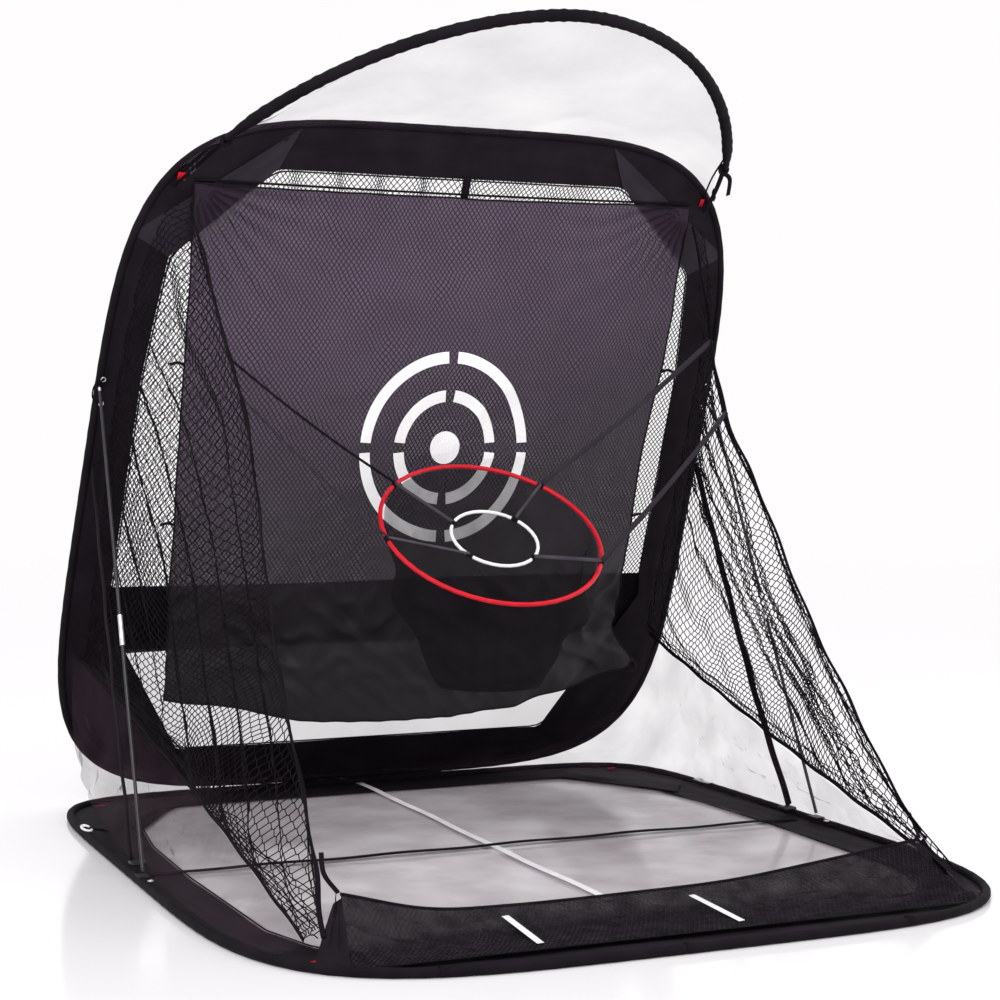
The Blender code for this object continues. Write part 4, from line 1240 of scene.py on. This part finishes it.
def build_wrap_tabs():
    """Webbing tabs wrapped over the front edge of the base."""
    for number, x in enumerate((-0.660, -0.060, 0.560), 1):
        a, b = BASE_HALF_WIDTH - SLEEVE_RADIUS, BASE_HALF_DEPTH - SLEEVE_RADIUS
        y = -b * (1 - abs(x / a) ** FRONT_POWER) ** (1 / FRONT_POWER)
        turn = np.radians(np.linspace(-20, 150, 24))
        reach = SLEEVE_RADIUS + 0.0012
        path = np.stack([np.full(24, x), y - reach * np.cos(turn), SLEEVE_RADIUS + reach * np.sin(turn)], 1)
        path = np.vstack([path, path[-1] + np.array((0, 0.030, -0.008))])
        tab = strap(f"wrap_tab_{number}", resample(path, 30), (1, 0, 0), 0.024, "webbing", 0.0012)
        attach(tab, "base")
        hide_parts(f"front_wrap_tab_{number}")


EYELET_RADIUS, EYELET_WIRE = 0.0065, 0.0022


def eyelet(name, place, normal, body):
    """A small metal eyelet."""
    normal = unit(np.array(normal, float))
    side = unit(np.cross(normal, (0.3, 0.2, 0.9)))
    turn = np.linspace(0, 2 * math.pi, 25)[:-1, None]
    path = np.array(place) + EYELET_RADIUS * (np.cos(turn) * side + np.sin(turn) * np.cross(normal, side))
    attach(tube(name, path, EYELET_WIRE, "silver", 8, True, normal), body)


# The red tabs on the right-hand side: body, place, and how the tab lies across and along.
RED_TABS = {
    "top": ("upright", on_frame(0.840, 2.095, 0.010), (1, 0, 0), (0, -0.9, 1.2)),
    "rear": ("base", (0.915, 1.120, 0.0125), (1, 0.3, 0), (-0.25, -1.0, 0.12)),
    "front": ("base", (0.905, -1.000, 0.0125), (1, -0.4, 0), (-0.25, -1.0, 0.12)),
}
# The cord laced between the frame's two eyelets: across, up the frame and off it.
LACING = ((1.008, 1.478, 0.014), (1.034, 1.462, 0.018), (1.036, 1.420, 0.018), (1.008, 1.400, 0.014))


def build_trim():
    """Red corner tabs, eyelets, laces, hooks and strap anchors."""
    tilt = on_frame(0, 0, 1.0) - on_frame(0, 0, 0.0)
    for word, s in SIDES:
        for name, (body, place, across, along) in RED_TABS.items():
            place = place * np.array((s, 1, 1))
            along = unit(along * np.array((s, 1, 1)))
            path = np.array([place, place + along * 0.012, place + along * 0.026])
            width = 0.012 if name == "top" and s > 0 else 0.024
            across = across * np.array((1, s, 1))
            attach(strap(f"red_tab_{name}_{word}", path, across, width, "red_tab"), body)
        for k, h in enumerate((1.478, 1.400)):
            eyelet(f"frame_eyelet_{k + 1}_{word}", on_frame(s * 1.008, h, 0.012), tilt, "upright")
        eyelet(f"base_eyelet_{word}", (s * 1.045, -0.085, 0.0235), (0, 0, 1), "base")
        build_hook(word, s)
        bracket = on_floor(np.linspace(s * 1.010, s * 1.052, 8), 0.120, 0.030)
        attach(strap(f"strap_anchor_{word}", bracket, (0, 1, 0), 0.045, "black_plastic", 0.010), "base")
        cord = smooth_path([on_frame(s * x, h, off) for x, h, off in LACING], 18)
        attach(tube(f"eyelet_cord_{word}", cord, 0.0022, "webbing", 8), "upright")


def build_hook(word, s):
    """The white snap hook that closes the folded net, lying on the base's edge."""
    centre = np.array((s * 1.048, 0.690, 0.026))
    turn = np.linspace(0.4, 5.6, 26)
    loop = centre + np.stack([0.012 * np.cos(turn), 0.046 * np.sin(turn), 0 * turn], 1)
    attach(tube(f"snap_hook_{word}", loop, 0.0038, "white", 8), "base")
    stem = np.array([centre + (0, 0.026, 0), centre + (-0.004 * s, 0.050, -0.004)])
    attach(strap(f"snap_hook_tab_{word}", stem, (1, 0, 0), 0.014, "tape"), "base")


def build_ring():
    """The mesh bag that hangs from the ring, from the tilted hoop to a level floor."""
    sides, levels = 72, 26
    a = 2 * math.pi * np.arange(sides) / sides
    rows = []
    field = waves(91, 8, 1.0, 3.0)
    for k in range(levels + 1):
        t = k / levels
        radius = (RING_RADIUS - 0.012) * (1 - t) ** 0.9 + BAG_FLOOR_RADIUS * t
        swing = math.sin(math.pi * t)
        drape = 1 + 0.09 * swing * np.sin(7 * a + 2 * t) + 0.05 * swing * field(a / 6.28, t)
        top = on_ring(radius * drape, a)
        low = BAG_FLOOR + np.stack([radius * drape * np.cos(a), radius * drape * np.sin(a), 0 * a], -1)
        rows.append(mix(top, low, t))
    for k in range(1, 6):
        shrink = 1 - k / 5.01
        rows.append(mix(BAG_FLOOR + np.array((0, 0, 0.004)), rows[levels], shrink))
    bag = grid_object("ring_bag_veil", np.array(rows), "bag", closed=True)
    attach(bag, "ring")
    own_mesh(bag)
    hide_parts("ring_bag")


# ---- light, floor, camera ----
def add_light(name, place, aim, size, power):
    data = bpy.data.lights.new(name, "AREA")
    data.shape = "RECTANGLE"
    data.size, data.size_y = size
    data.energy = power
    light = bpy.data.objects.new(name, data)
    light.location = place
    light.rotation_euler = (Vector(aim) - Vector(place)).to_track_quat("-Z", "Y").to_euler()
    bpy.context.scene.collection.objects.link(light)


STAGE_REACH, STAGE_LEVEL = 14.0, -0.0005


def build_stage():
    """A pale glossy floor under an even white sky, with two soft lamps."""
    world = bpy.data.worlds.new("studio")
    world.use_nodes = True
    shade = world.node_tree.nodes["Background"]
    shade.inputs["Color"].default_value = (1.0, 0.985, 0.995, 1)
    shade.inputs["Strength"].default_value = 1.0
    bpy.context.scene.world = world
    material, _, shader = new_material("studio_floor", 0.12, 0.5)
    shader.inputs["Base Color"].default_value = (0.93, 0.92, 0.93, 1)
    data = bpy.data.meshes.new("studio_floor")
    signs = ((-1, -1), (1, -1), (1, 1), (-1, 1))
    data.from_pydata([(x * STAGE_REACH, y * STAGE_REACH, STAGE_LEVEL) for x, y in signs], [], [(0, 1, 2, 3)])
    floor = bpy.data.objects.new("studio_floor", data)
    data.materials.append(material)
    bpy.context.scene.collection.objects.link(floor)
    add_light("key", (-3.5, -4.0, 4.5), (0, 0, 0.8), (3.0, 2.0), 170)
    add_light("fill", (4.5, -2.5, 3.5), (0, 0, 1.0), (3.0, 3.0), 80)
    bpy.context.scene.view_settings.view_transform = "Standard"


def add_camera():
    data = bpy.data.cameras.new("camera")
    data.lens = CAMERA_LENS
    data.sensor_width = 36.0
    camera = bpy.data.objects.new("camera", data)
    camera.location = CAMERA_PLACE
    camera.rotation_euler = (math.pi / 2 - CAMERA_DROP, 0, -CAMERA_AZIMUTH)
    bpy.context.scene.collection.objects.link(camera)
    bpy.context.scene.camera = camera


add_camera()
build_stage()
build_loops()
build_back_net()
build_sheet()
build_roof()
for side in SIDES:
    build_side(*side)
build_floor()
build_lip()
build_straps()
build_wrap_tabs()
build_trim()
build_ring()
dress_cad_nodes()
